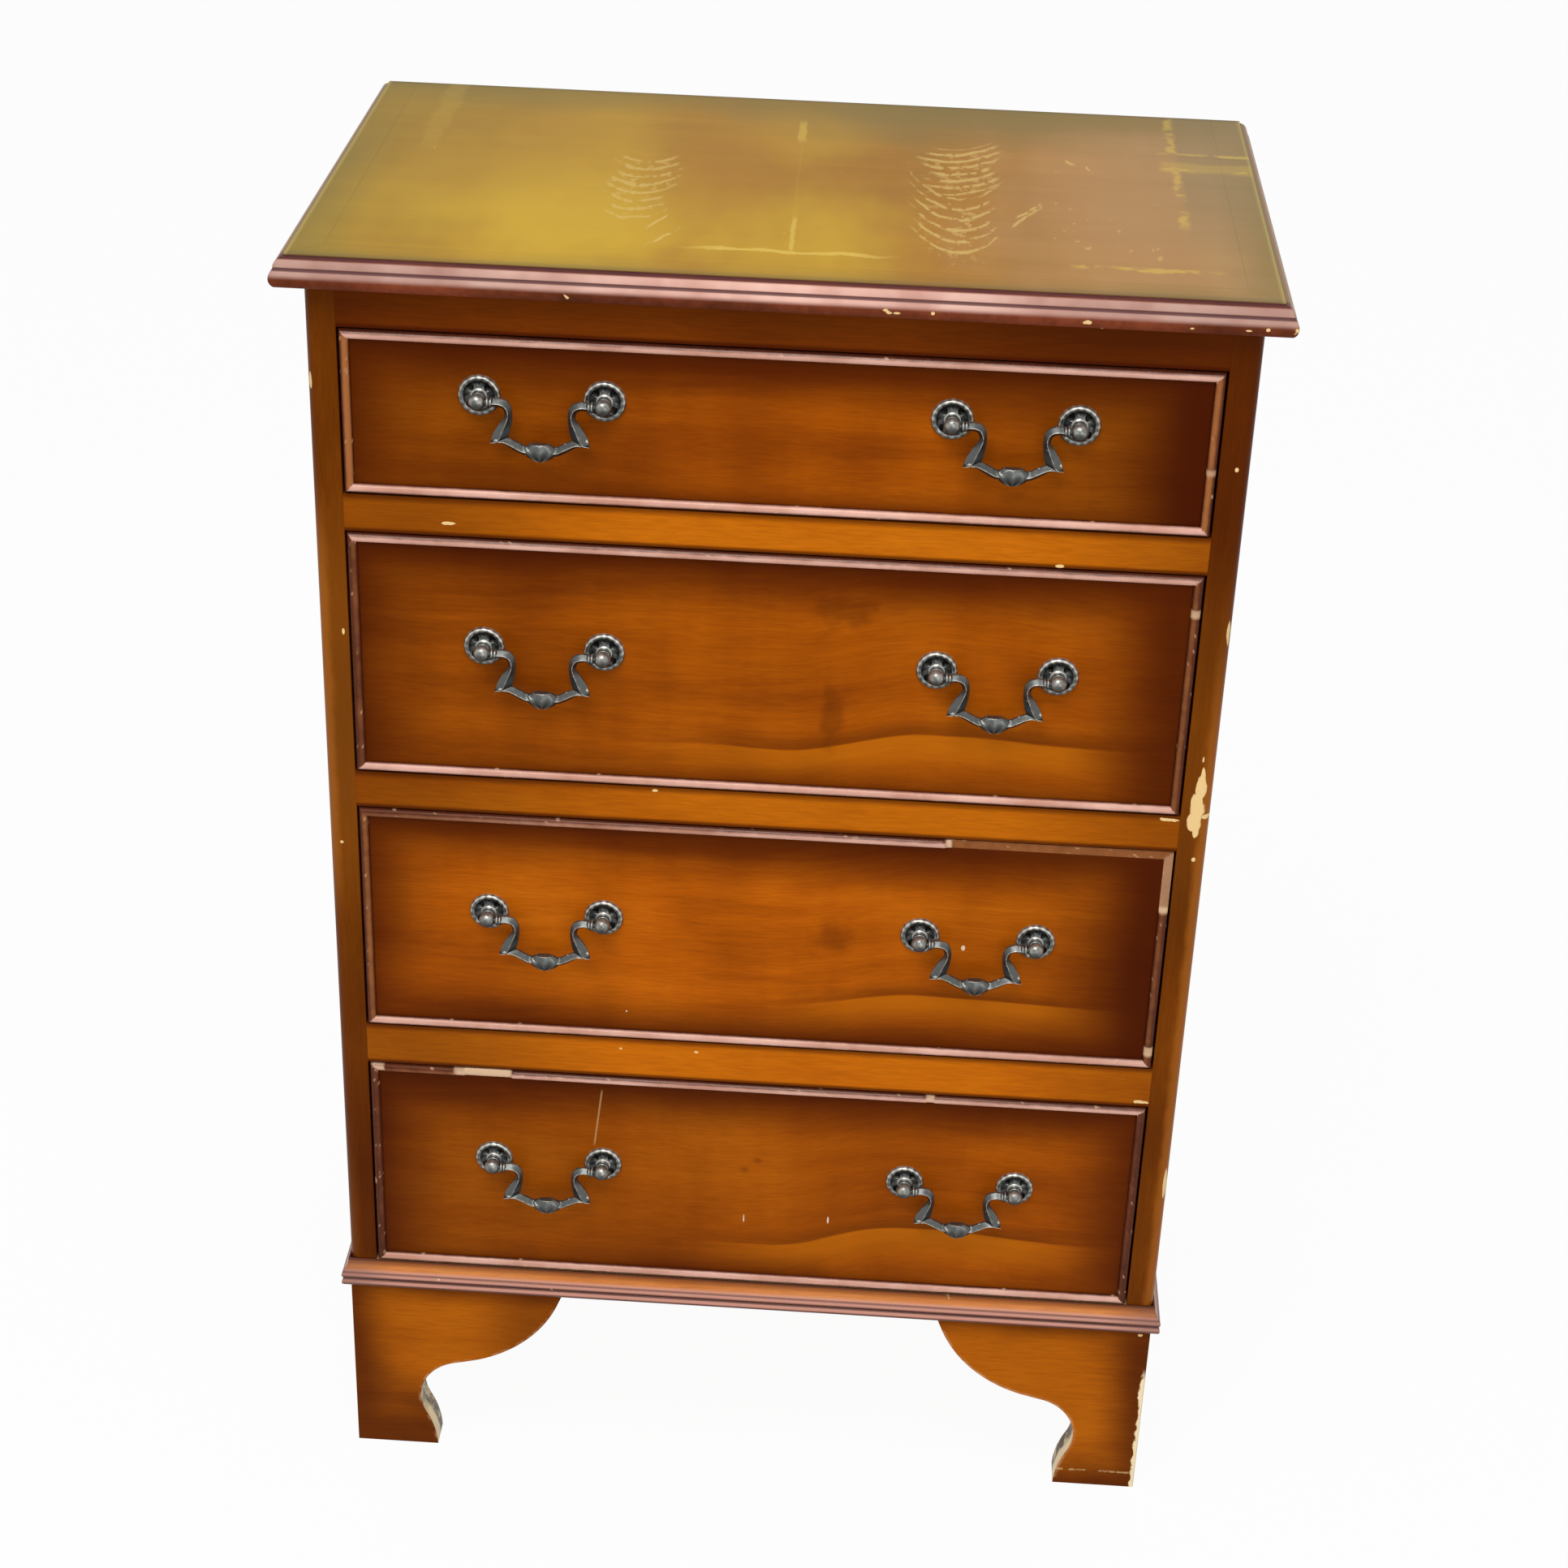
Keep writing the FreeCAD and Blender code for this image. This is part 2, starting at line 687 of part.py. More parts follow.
def make_drawer(drawer):
    """One drawer: a veneered front with cock beads, dovetailed sides, a housed back and a plywood bottom."""
    low, high, pivot = drawer_levels(drawer)
    side_low = f"(Places.floor_{drawer} + Sizes.runner_clearance)"
    side_high = f"({high} - Sizes.side_drop)"
    ply_low = f"({low} + Sizes.ply_lift)"
    ply_high = f"({ply_low} + Sizes.ply_thickness)"
    inside = "(Places.drawer_half - Sizes.drawer_side)"
    ply_half = f"({inside} + Sizes.ply_groove)"
    start = (f"-{ply_half}", "Places.front_back - Sizes.ply_groove", ply_low)
    bottom = box(f"ply_{drawer}", start, (ply_half, "Places.box_back", ply_high))
    node(bottom, f"drawer_{drawer}_bottom")
    back_half = f"({inside} + Sizes.back_housing)"
    back_plane = "(Places.box_back - Sizes.back_inset)"
    start = (f"-{back_half}", f"{back_plane} - Sizes.drawer_back", ply_high)
    back = box(f"back_{drawer}", start, (back_half, back_plane, f"{side_high} - Sizes.back_drop"))
    node(back, f"drawer_{drawer}_back")
    sides = []
    for side, sign in SIDES.items():
        blank = padded(f"side_{drawer}_{side}", "YZ_Plane", drawer_side_outline(side_low, side_high),
                       "Sizes.drawer_side", reverse=sign > 0)
        place(blank, (f"{sign} * Places.drawer_half", "0", "0"))
        sides.append(cut(f"side_{drawer}_{side}_grooved", blank, [bottom, back]))
    sides = node(group(f"sides_{drawer}", sides), f"drawer_{drawer}_sides")
    beads = make_beads(drawer, low, high)
    start = ("-Places.drawer_half", "Places.face", low)
    blank = box(f"front_{drawer}_blank", start, ("Places.drawer_half", "Places.front_back", high))
    front = cut(f"front_{drawer}", blank, [sides, bottom, beads])
    node(front, f"drawer_{drawer}_front")
    fit_handles(drawer, pivot)


# Handles: a pierced rosette and a turned post at each end, and a swan-neck bail between the posts' pommels

def post_places():
    """Distances of the four posts from the middle of a drawer front, as formulas."""
    ends = (-1, 1)
    return [f"{side} * Sizes.handle_offset + {end} * Places.pivot_half" for side in ends for end in ends]


def make_rosette():
    """Dished disc with a raised rim, pierced by four lozenges on its diagonals."""
    disc = lofted("rosette_disc", ROSETTE_FACETS, [
        ("Sizes.rosette_radius", "0"),
        ("Sizes.rim_radius", "Sizes.rosette_height"),
    ])
    floor = ("0", "0", "Sizes.dish_floor")
    tools = [prism("rosette_dish", ROSETTE_FACETS, "Sizes.dish_radius", "Sizes.rosette_height", floor)]
    for diagonal in DIAGONALS:
        spot = (f"Sizes.pierce_centre * cos({diagonal})", f"Sizes.pierce_centre * sin({diagonal})", "0")
        lozenge = prism(f"rosette_pierce_{diagonal}", LOZENGE_CORNERS, "Sizes.pierce_radius",
                        "Sizes.rosette_height", spot, Rotation(Vector(0, 0, 1), diagonal))
        tools.append(lozenge)
    return cut("rosette", disc, tools)


def make_pommel():
    """Faceted ball: what three prisms across each other have in common, with a flat towards each axis."""
    flats = Rotation(Vector(0, 0, 1), 180 / POST_FACETS)
    corner_radius = f"Sizes.pommel_radius / cos(180 / {POST_FACETS})"
    turns = {
        "forwards": Rotation(),
        "sideways": Rotation(Vector(0, 1, 0), 90),
        "upright": Rotation(Vector(1, 0, 0), -90),
    }
    prisms = []
    for name, turn in turns.items():
        back = turn.multVec(Vector(0, 0, -1))
        spot = [f"{round(part)} * Sizes.pommel_radius" for part in back]
        spot[2] += " + Sizes.pivot_reach"
        prisms.append(prism(f"pommel_{name}", POST_FACETS, corner_radius, "2 * Sizes.pommel_radius",
                            spot, turn * flats))
    ball = doc.addObject("Part::MultiCommon", "pommel")
    ball.Shapes = prisms
    return ball


def make_post():
    """Turned post: a foot on the rosette, a neck and a pommel bored on its inner side for the bail's pin."""
    seat = ("0", "0", "Sizes.dish_floor")
    foot = prism("post_foot", POST_FACETS, "Sizes.post_foot", "Sizes.post_foot_height", seat)
    neck_length = "Sizes.pivot_reach - Sizes.dish_floor"
    neck = prism("post_neck", POST_FACETS, "Sizes.post_neck", neck_length, seat)
    turning = doc.addObject("Part::MultiFuse", "post_turning")
    turning.Shapes = [foot, neck, make_pommel()]
    bore_radius = f"(Sizes.pin_radius + Sizes.pin_fit) / cos(180 / {PIN_FACETS})"
    bore_length = "Sizes.pin_length + Sizes.pin_end_play"
    spot = ("Sizes.pommel_radius - Sizes.pin_length", "0", "Sizes.pivot_reach")
    along = Rotation(Vector(0, 1, 0), 90)
    bore = prism("post_bore", PIN_FACETS, bore_radius, bore_length, spot, along)
    return cut("post", turning, [bore])


def bail_outline():
    """Swan-neck bail from the front: arms from the pommels, bent in, out to pointed ears, along the bar."""
    arm = "Sizes.arm_width / 2"
    right = [
        ("Sizes.bar_end", "-Sizes.bar_foot"),
        ("Sizes.heel_width", "-Sizes.heel_drop"),
        ("Sizes.ear_width", "-Sizes.ear_drop", JOINING),
        ("Sizes.throat_width", "-Sizes.throat_drop", JOINING),
        ("Sizes.bend_start", f"-{arm}"),
        ("Places.collar", f"-{arm}"),
        ("Places.collar", arm),
        ("Sizes.bend_start", arm, LEAVING),
        ("Sizes.neck_inner", "-Sizes.neck_drop", LEAVING),
        ("Sizes.crook_width", "-Sizes.crook_drop"),
        ("Sizes.bar_end", "-Sizes.bar_top"),
    ]
    swapped = {LEAVING: JOINING, JOINING: LEAVING}
    left = []
    for corner, before in zip(right[::-1], right[-2::-1] + [()]):
        turn = [swapped.get(before[2], before[2])] if len(before) > 2 else []
        left.append((f"-({corner[0]})", corner[1], *turn))
    return right + left


def leaf_outline():
    """Shell-shaped boss in the middle of the bail's bar."""
    right = [
        ("0", "-Sizes.leaf_foot"),
        ("Sizes.leaf_toe_width / 2", "-Sizes.leaf_toe"),
        ("Sizes.leaf_width / 2", "-Sizes.leaf_middle"),
        ("Sizes.leaf_shoulder_width / 2", "-Sizes.leaf_shoulder"),
        ("0", "-Sizes.leaf_top"),
    ]
    return right + mirrored(right[-2:0:-1])


def rim_edges(shape, depth):
    """Names of the edges that lie round a plate's face at this depth."""
    names = []
    for index, edge in enumerate(shape.Edges, start=1):
        if max(abs(vertex.Y - depth) for vertex in edge.Vertexes) < EDGE_TOLERANCE:
            names.append(f"Edge{index}")
    return names


def make_leaf():
    """Flat-backed boss in the middle of the bar, centred on Y = 0, with its front edges bevelled."""
    body = padded("bail_leaf", "XZ_Plane", leaf_outline(), "Sizes.leaf_thickness", symmetric=True)
    doc.recompute()
    pad = body.Tip
    chamfer = body.newObject("PartDesign::Chamfer", "bail_leaf_bevel")
    chamfer.Base = (pad, rim_edges(pad.Shape, -number("Sizes.leaf_thickness") / 2))
    bind(chamfer, {"Size": "Sizes.leaf_bevel"})
    return body


def make_bail():
    """Bail with its leaf boss and the two pins that turn in the pommels."""
    frame = padded("bail_frame", "XZ_Plane", bail_outline(), "Sizes.bail_thickness", symmetric=True)
    pieces = [frame, make_leaf()]
    for side, sign in SIDES.items():
        along = Rotation(Vector(0, 1, 0), sign * 90)
        spot = (f"{sign} * Places.collar", "0", "0")
        pin = prism(f"bail_pin_{side}", PIN_FACETS, "Sizes.pin_radius", "Sizes.pin_length", spot, along)
        pieces.append(pin)
    bail = doc.addObject("Part::MultiFuse", "bail")
    bail.Shapes = pieces
    return bail


def fit_handles(drawer, pivot):
    """Two handles on one drawer: rosettes, posts and a bail that swings on its own."""
    forwards = Rotation(Vector(1, 0, 0), 90)
    turned_about = forwards * Rotation(Vector(0, 0, 1), 180)
    rosettes = []
    posts = []
    for count, across in enumerate(post_places()):
        spot = (across, "Places.face", pivot)
        rosettes.append(copy_of(f"rosette_{drawer}_{count}", ROSETTE, spot, forwards))
        posts.append(copy_of(f"post_{drawer}_{count}", POST, spot, turned_about if count % 2 else forwards))
    node(group(f"rosettes_{drawer}", rosettes), f"drawer_{drawer}_rosettes")
    node(group(f"posts_{drawer}", posts), f"drawer_{drawer}_handle_posts")
    for side, sign in SIDES.items():
        spot = (f"{sign} * Sizes.handle_offset", "Places.face - Sizes.pivot_reach", pivot)
        node(copy_of(f"bail_{drawer}_{side}", BAIL, spot), f"drawer_{drawer}_bail_{side}")


def write_parts():
    """Check every object and write each sub-part to its own file."""
    doc.recompute()
    failed = [item.Label for item in doc.Objects if {"Invalid", "Error"} & set(item.State)]
    for label, item in subparts.items():
        shape = Part.getShape(item)
        if shape.isNull() or not shape.isValid() or not shape.Solids:
            failed.append(label)
    if failed:
        raise RuntimeError("these objects failed: " + ", ".join(sorted(set(failed))))
    os.makedirs("parts", exist_ok=True)
    for label, item in subparts.items():
        Part.getShape(item).exportStep(f"parts/{label}.step")
    print(len(subparts), "sub-parts written")


make_top()
make_side_panels()
make_back()
make_frame()
make_runners()
make_stops()
make_plinth()
make_feet()
ROSETTE = make_rosette()
POST = make_post()
BAIL = make_bail()
for drawer in DRAWERS:
    make_drawer(drawer)
write_parts()
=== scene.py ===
import json
import math
from functools import cached_property

import bmesh
import bpy
from mathutils import Matrix, Vector, noise


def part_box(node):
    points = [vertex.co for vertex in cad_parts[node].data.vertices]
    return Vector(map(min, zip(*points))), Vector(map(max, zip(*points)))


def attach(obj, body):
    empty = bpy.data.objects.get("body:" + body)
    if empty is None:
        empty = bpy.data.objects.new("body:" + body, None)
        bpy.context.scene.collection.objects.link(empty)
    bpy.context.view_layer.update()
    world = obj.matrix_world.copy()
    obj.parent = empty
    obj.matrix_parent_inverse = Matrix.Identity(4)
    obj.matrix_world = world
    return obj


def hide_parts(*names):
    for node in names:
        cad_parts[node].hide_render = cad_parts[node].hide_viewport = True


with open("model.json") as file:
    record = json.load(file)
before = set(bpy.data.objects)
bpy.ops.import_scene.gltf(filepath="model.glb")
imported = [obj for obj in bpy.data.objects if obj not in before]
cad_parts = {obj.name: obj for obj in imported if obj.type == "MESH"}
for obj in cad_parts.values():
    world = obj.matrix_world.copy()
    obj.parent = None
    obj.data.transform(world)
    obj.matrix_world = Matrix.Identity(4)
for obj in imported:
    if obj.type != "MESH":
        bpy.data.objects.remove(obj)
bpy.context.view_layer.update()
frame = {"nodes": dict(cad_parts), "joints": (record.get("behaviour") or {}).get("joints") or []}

nodes = frame["nodes"]
MM = 0.001
DRAWERS = (1, 2, 3, 4)
SIDES = {"left": -1, "right": 1}
# Half widths of the carcass and of the flat top, front and back of the flat top, and height of the feet
CARCASS_HALF = 0.240
TOP_HALF = 0.247
TOP_FRONT = -0.149
TOP_BACK = 0.156
FOOT_HEIGHT = 0.1235

# Camera at the photograph's viewpoint, fitted to the chest's corners
CAMERA_PLACE = Vector((0.0658, -1.5492, 1.2682))
CAMERA_FORWARD = Vector((-0.03481, 0.87244, -0.48749))
CAMERA_UP = Vector((-0.0552, 0.48536, 0.87257))
CAMERA_LENS = 68.54
CAMERA_SENSOR = 36.0
# Lamps as place, aim, size and power
LAMPS = {"key": ((-0.25, -1.25, 2.45), (0, -0.1, 0.45), 1.2, 30),
         "fill": ((0.9, -2.2, 1.0), (0, 0, 0.4), 1.6, 10)}
SKY_LIGHT = 0.55
FLOOR_HALF = 14.0
FLOOR_GREY = (0.86, 0.86, 0.86)
FLOOR_WHITE_SHARE = 0.95
WHITE = (1, 1, 1)

# Bare wood, in linear light like all colours here
RAW_WOOD = (0.80, 0.555, 0.25)
CREAM = (0.92, 0.74, 0.46)
RIM_WOOD = (0.66, 0.36, 0.17)
SAWN_DARK = (0.15, 0.075, 0.032)
SAWN_PALE = (0.23, 0.125, 0.058)
GREY_WOOD = (0.27, 0.235, 0.17)
DUST_BROWN = (0.14, 0.10, 0.06)
DUST_DARK = (0.060, 0.048, 0.036)
BEECH = ((0.40, 0.23, 0.10), (0.50, 0.31, 0.15), (0.58, 0.38, 0.20))
BOARD_STOPS = ((0.35, (0.16, 0.085, 0.035)), (0.5, (0.21, 0.115, 0.05)), (0.65, (0.25, 0.14, 0.065)))
# Veneer
# Dark of the toned edges of the veneer, also laid on as painted shade on the rails, stiles, feet and plinth
EDGE_DARK = (0.050, 0.0040, 0.0003)
FRONT_TONES = ((0.25, 0.048, 0.001), (0.385, 0.082, 0.0014), (0.49, 0.118, 0.003))
FIGURE_DARK = (0.105, 0.020, 0.0008)
FIGURE_AMBER = (0.50, 0.140, 0.003)
KNOT_DARK = (0.085, 0.014, 0.001)
FLECK_PALE = (0.80, 0.70, 0.52)
RAIL_TONES = ((0.38, 0.085, 0.0018), (0.50, 0.128, 0.0027), (0.57, 0.158, 0.0045))
# Painted shadow of the top's overhang on the top rail
TOP_RAIL_SHADOW_TONES = ((0.085, 0.014, 0.0006), (0.130, 0.024, 0.0008), (0.165, 0.032, 0.001))
STILE_TONES = ((0.095, 0.020, 0.0008), (0.145, 0.033, 0.001), (0.19, 0.045, 0.0015))
STILE_LIT = (0.25, 0.074, 0.005)
# Painted light on the rounded front corners of the stiles
STILE_CORNER_LIGHT = (0.36, 0.110, 0.012)
STILE_RUBBED = (0.44, 0.17, 0.05)
FLANK = (0.33, 0.078, 0.002)
FOOT_TONES = ((0.26, 0.058, 0.001), (0.41, 0.100, 0.0018), (0.48, 0.125, 0.003))
# Faded top, with a painted reflection in its colours
TOP_FADE_AND_REFLECTION_STOPS = ((0.02, (0.32, 0.190, 0.014)), (0.24, (0.40, 0.215, 0.012)), (0.42, (0.38, 0.185, 0.011)),
             (0.58, (0.345, 0.155, 0.010)), (0.68, (0.37, 0.165, 0.014)), (0.80, (0.40, 0.200, 0.055)),
             (0.98, (0.39, 0.230, 0.095)))
TOP_BORDER = (0.19, 0.140, 0.032)
TOP_BAND = (0.24, 0.175, 0.075)
TOP_RIM = (0.09, 0.075, 0.04)
# Painted highlight along the ends of the top
TOP_EDGE_HIGHLIGHT = (0.50, 0.40, 0.12)
TOP_LINE = (0.66, 0.45, 0.075)
TOP_WORN = (0.64, 0.44, 0.13)
# Red-brown mouldings and beads, with painted highlights, reflections and shade on them
MAHOGANY = (0.13, 0.030, 0.013)
# Painted highlight on the plinth's reeds and the foot of its cove
MAHOGANY_HIGHLIGHT = (0.62, 0.300, 0.228)
# Painted shade in the quirk and under the fillet of the top's edge
MAHOGANY_SHADE = (0.090, 0.038, 0.042)
# Painted pinkish reflection on the lip and ovolo of the top's edge
LIP_REFLECTION_STOPS = ((0.35, (0.53, 0.285, 0.230)), (0.65, (0.70, 0.430, 0.355)))
# Painted reflection on the returned lip near the front corners
LIP_RETURN_REFLECTION = (0.34, 0.230, 0.105)
REED_SHADE = (0.055, 0.012, 0.010)
COVE_TONES = ((0.42, 0.115, 0.018), (0.58, 0.190, 0.040), (0.66, 0.25, 0.070))
COVE_SHADE = (0.22, 0.050, 0.002)
PLINTH_ENDS = (0.15, 0.070, 0.058)
# Painted shade along the sides of the beads
BEAD_SIDE_SHADE = (0.040, 0.008, 0.004)
BEAD_TAN = (0.34, 0.120, 0.034)
# Painted pinkish highlight on the crowns of the level beads
BEAD_HIGHLIGHT_STOPS = ((0.35, (0.50, 0.240, 0.170)), (0.65, (0.68, 0.390, 0.310)))
BEAD_RAW = (0.66, 0.44, 0.27)
# Metal
METAL_DARK = (0.009, 0.0085, 0.008)
METAL_MID = (0.108, 0.113, 0.108)
METAL_WORN = (0.66, 0.63, 0.56)
METAL_HOLLOW = (0.003, 0.0028, 0.0025)
STEEL = (0.45, 0.43, 0.40)
STEEL_DULL = (0.20, 0.18, 0.15)
PIN_DARK = (0.10, 0.095, 0.09)
# Tints of the lacquer's reflection
AMBER_TINT = (1.0, 0.55, 0.22)
PINK_TINT = (1.0, 0.78, 0.68)
TAN_TINT = (1.0, 0.66, 0.44)


def adds(kind):
    """Method of a value that adds a math node of one kind."""
    return lambda *values: values[0].graph.math(kind, *values)


class Value:
    """Output of a node, with operators that add nodes: | gives the larger of two values and & the smaller."""

    __add__ = adds("ADD")
    __sub__ = adds("SUBTRACT")
    __mul__ = adds("MULTIPLY")
    __truediv__ = adds("DIVIDE")
    __or__ = adds("MAXIMUM")
    __and__ = adds("MINIMUM")
    __abs__ = adds("ABSOLUTE")
    root = adds("SQRT")
    zigzag = adds("PINGPONG")
    smooth_least = adds("SMOOTH_MIN")

    def __init__(self, graph, socket):
        self.graph = graph
        self.socket = socket

    def __rsub__(self, other):
        return self.graph.math("SUBTRACT", other, self)

    def rise(self, low, high):
        """0 below low, 1 above high and smooth between; falls instead if low is the larger."""
        inputs = {"Value": self, "From Min": low, "From Max": high}
        return self.graph.node("ShaderNodeMapRange", inputs, interpolation_type="SMOOTHSTEP")

    def between(self, low, high, soft):
        """1 between low and high, falling to 0 over a soft margin outside them."""
        return self.rise(low - soft, low) * self.rise(high + soft, high)

    def jitter(self, noise_value, amount):
        """Value moved by a noise around one half."""
        return (noise_value - 0.5) * amount + self

    def paint(self, tone, mask):
        """Colour with a tone over it where a mask is."""
        return self.graph.mix(mask, self, tone)

    def tinted(self, factor, *stops):
        """Colour times a ramp."""
        return self.graph.mix(1.0, self, self.graph.ramp(factor, stops), "MULTIPLY")

    def dimmed(self, level):
        """Colour times a number."""
        return self.graph.mix(1.0, self, self.graph.joined(level, level, level), "MULTIPLY")


class Graph:
    """Node tree of a material or world, with short calls for the nodes that are used here."""

    def __init__(self, owner):
        owner.use_nodes = True
        self.owner = owner
        self.tree = owner.node_tree

    def node(self, kind, inputs=None, output=0, **settings):
        """One output of a new node."""
        made = self.tree.nodes.new(kind)
        for key, value in settings.items():
            setattr(made, key, value)
        for key, value in (inputs or {}).items():
            self.feed(made.inputs[key], value)
        return Value(self, made.outputs[output])

    def feed(self, socket, value):
        """Link a value to a socket, or set a constant there."""
        if isinstance(value, Value):
            self.tree.links.new(value.socket, socket)
        elif socket.type == "RGBA":
            socket.default_value = (*value, 1)
        else:
            socket.default_value = value

    def set(self, **values):
        """Feed the inputs of the material's shader."""
        for key, value in values.items():
            self.feed(self.tree.nodes["Principled BSDF"].inputs[key.replace("_", " ")], value)

    def math(self, operation, *values):
        return self.node("ShaderNodeMath", dict(enumerate(values)), operation=operation)

    @cached_property
    def point(self):
        """Place on the object."""
        return self.node("ShaderNodeTexCoord", output="Object")

    def attribute(self, name):
        return self.node("ShaderNodeAttribute", output="Fac", attribute_name=name)

    def axes(self, vector=None):
        """The three parts of a vector, or of the place on the object."""
        first = self.node("ShaderNodeSeparateXYZ", {0: vector or self.point})
        return [Value(self, socket) for socket in first.socket.node.outputs]

    def joined(self, x, y, z):
        return self.node("ShaderNodeCombineXYZ", {0: x, 1: y, 2: z})

    def noise(self, scale, detail=3.0, roughness=0.55, distortion=0.0, stretch=None, at=None):
        """Noise over the object or at another place, which may be stretched."""
        vector = at or self.point
        if stretch:
            vector = self.node("ShaderNodeMapping", {"Vector": vector, "Scale": stretch})
        inputs = {"Vector": vector, "Scale": scale, "Detail": detail, "Roughness": roughness,
                  "Distortion": distortion}
        return self.node("ShaderNodeTexNoise", inputs, "Fac")

    def mix(self, factor, first, second, blend="MIX"):
        inputs = {0: factor, 6: first, 7: second}
        return self.node("ShaderNodeMix", inputs, 2, data_type="RGBA", blend_type=blend)

    def ramp(self, factor, stops):
        made = self.node("ShaderNodeValToRGB", {0: factor})
        elements = made.socket.node.color_ramp.elements
        while len(elements) < len(stops):
            elements.new(1.0)
        for element, (position, colour) in zip(elements, stops):
            element.position = position
            element.color = (*colour, 1)
        return made

    def rounded(self, radius):
        """Normal over edges that are rounded off for the light."""
        return self.node("ShaderNodeBevel", {"Radius": radius}, samples=4)

    def surface(self, height, distance, strength, edge=0.0006):
        """Bump from a height, over rounded edges."""
        inputs = {"Height": height, "Distance": distance, "Strength": strength, "Normal": self.rounded(edge)}
        self.set(Normal=self.node("ShaderNodeBump", inputs))


def new_material(name):
    """Node tree of a new material."""
    return Graph(bpy.data.materials.new(name))


def largest(masks):
    """Largest of some masks."""
    result = masks[0]
    for mask in masks[1:]:
        result = result | mask
    return result


def spot(across, up, place, ragged, soft=0.2):
    """1 inside an ellipse given as centre and radii, with an edge broken by a noise."""
    x = (across - place[0]) / place[2]
    z = (up - place[1]) / place[3]
    away = (x * x + z * z).root().jitter(ragged, 3.0)
    return away.rise(1.0 + soft / 2, 1.0 - soft / 2)


# Wood

ALONG_X = (1.0, 12.0, 12.0)
ALONG_Y = (12.0, 1.0, 12.0)
ALONG_Z = (12.0, 12.0, 1.0)
STREAK_SCALE = 4.0
FIBRE_SCALE = 70.0
CHIP_SCALE = 160.0
WOOD_STOPS = (0.32, 0.50, 0.70)
# Distances to the ends of a rectangle count this much more than those to its sides
END_STRETCH = 1.7


def wood(graph, grain, tones, contrast=1.0, level=1.0, at=None):
    """Colour and fibre height of plain wood with its grain along one axis."""
    streak = graph.noise(STREAK_SCALE, 4.0, 0.6, 0.6, grain, at)
    cloud = graph.noise(9.0, 2.0, at=at)
    fibre = graph.noise(FIBRE_SCALE, 2.0, 0.7, 0.0, grain, at)
    blend = (cloud * 0.55 + streak * 0.45 - 0.5) * contrast + 0.5
    colour = graph.ramp(blend, [(place, [level * part for part in tone])
                                for place, tone in zip(WOOD_STOPS, tones)])
    return colour.tinted(fibre, (0.35, (0.88, 0.86, 0.84)), (0.62, (1.04, 1.04, 1.03))), fibre


def lacquer(graph, colour, fibre, roughness=0.36, shine=0.08, tint=AMBER_TINT):
    """Satin lacquer over a colour."""
    graph.set(Base_Color=colour, Specular_IOR_Level=shine, Specular_Tint=tint,
              Roughness=fibre * 0.12 + (roughness - 0.06))
    graph.surface(fibre, 0.0002, 0.3)
    return graph.owner


def distance_to_edge(across, up, low, high):
    """Smaller of the distances to the sides and ends of a rectangle."""
    sides = (across - low[0]) & (high[0] - across)
    ends = (up - low[1]) & (high[1] - up)
    return sides.smooth_least(ends * END_STRETCH, 0.03)


# Drawer fronts: brightness in the middle, the share lost towards the ends and the lean to the right
FRONT_LEVELS = {1: 0.95, 2: 0.88, 3: 1.10, 4: 0.80}
FRONT_GLOWS = {1: 0.50, 2: 0.12, 3: 0.20, 4: 0.0}
FRONT_LEANS = {1: -0.10, 2: 0.10, 3: -0.15, 4: 0.25}
FRONT_HALF = 0.22
# The dark line of the figure: its height over the drawer's lower edge and the rise of its crest
FIGURES = {2: (0.0265, 0.0145), 3: (0.0275, 0.0125), 4: (0.0265, 0.0165)}
# The stretch over which it starts to show, and its fall beyond the crest
FIGURE_STARTS = {2: (-0.10, 0.03), 3: (-0.02, 0.08), 4: (-0.06, 0.06)}
FIGURE_FALL = -0.004
# Smudges and flecks as centre and radii
KNOTS = {2: ((0.036, 0.586, 0.016, 0.008), (0.033, 0.526, 0.005, 0.014)),
         3: ((0.041, 0.387, 0.014, 0.010),),
         4: ((-0.005, 0.2228, 0.0034, 0.0030), (0.0024, 0.2298, 0.0030, 0.0022))}
FLECKS = {3: ((0.1125, 0.3835, 0.0011, 0.0017), (-0.075, 0.3285, 0.0006, 0.0006)),
          4: ((0.0446, 0.1893, 0.0006, 0.0026), (-0.005, 0.188, 0.0004, 0.0030))}
# A long fine scratch: heights of its ends, place of the upper end and slope
LONG_SCRATCHES = {4: (0.2367, 0.2703, -0.0892, 0.113)}
# Places where the shading starts: beyond the left and upper edges, and beyond the other two on each drawer
LEFT_SHIFT = -0.010
UPPER_SHIFT = -0.004
LOWER_SHIFTS = {1: -0.012, 2: -0.012, 3: -0.002, 4: -0.012}
RIGHT_SHIFTS = {1: -0.006, 2: -0.005, 3: -0.005, 4: 0.008}
# Share of a narrow dark strip at the right-hand edge
RIGHT_STRIPS = {1: 0.60, 3: 0.45}


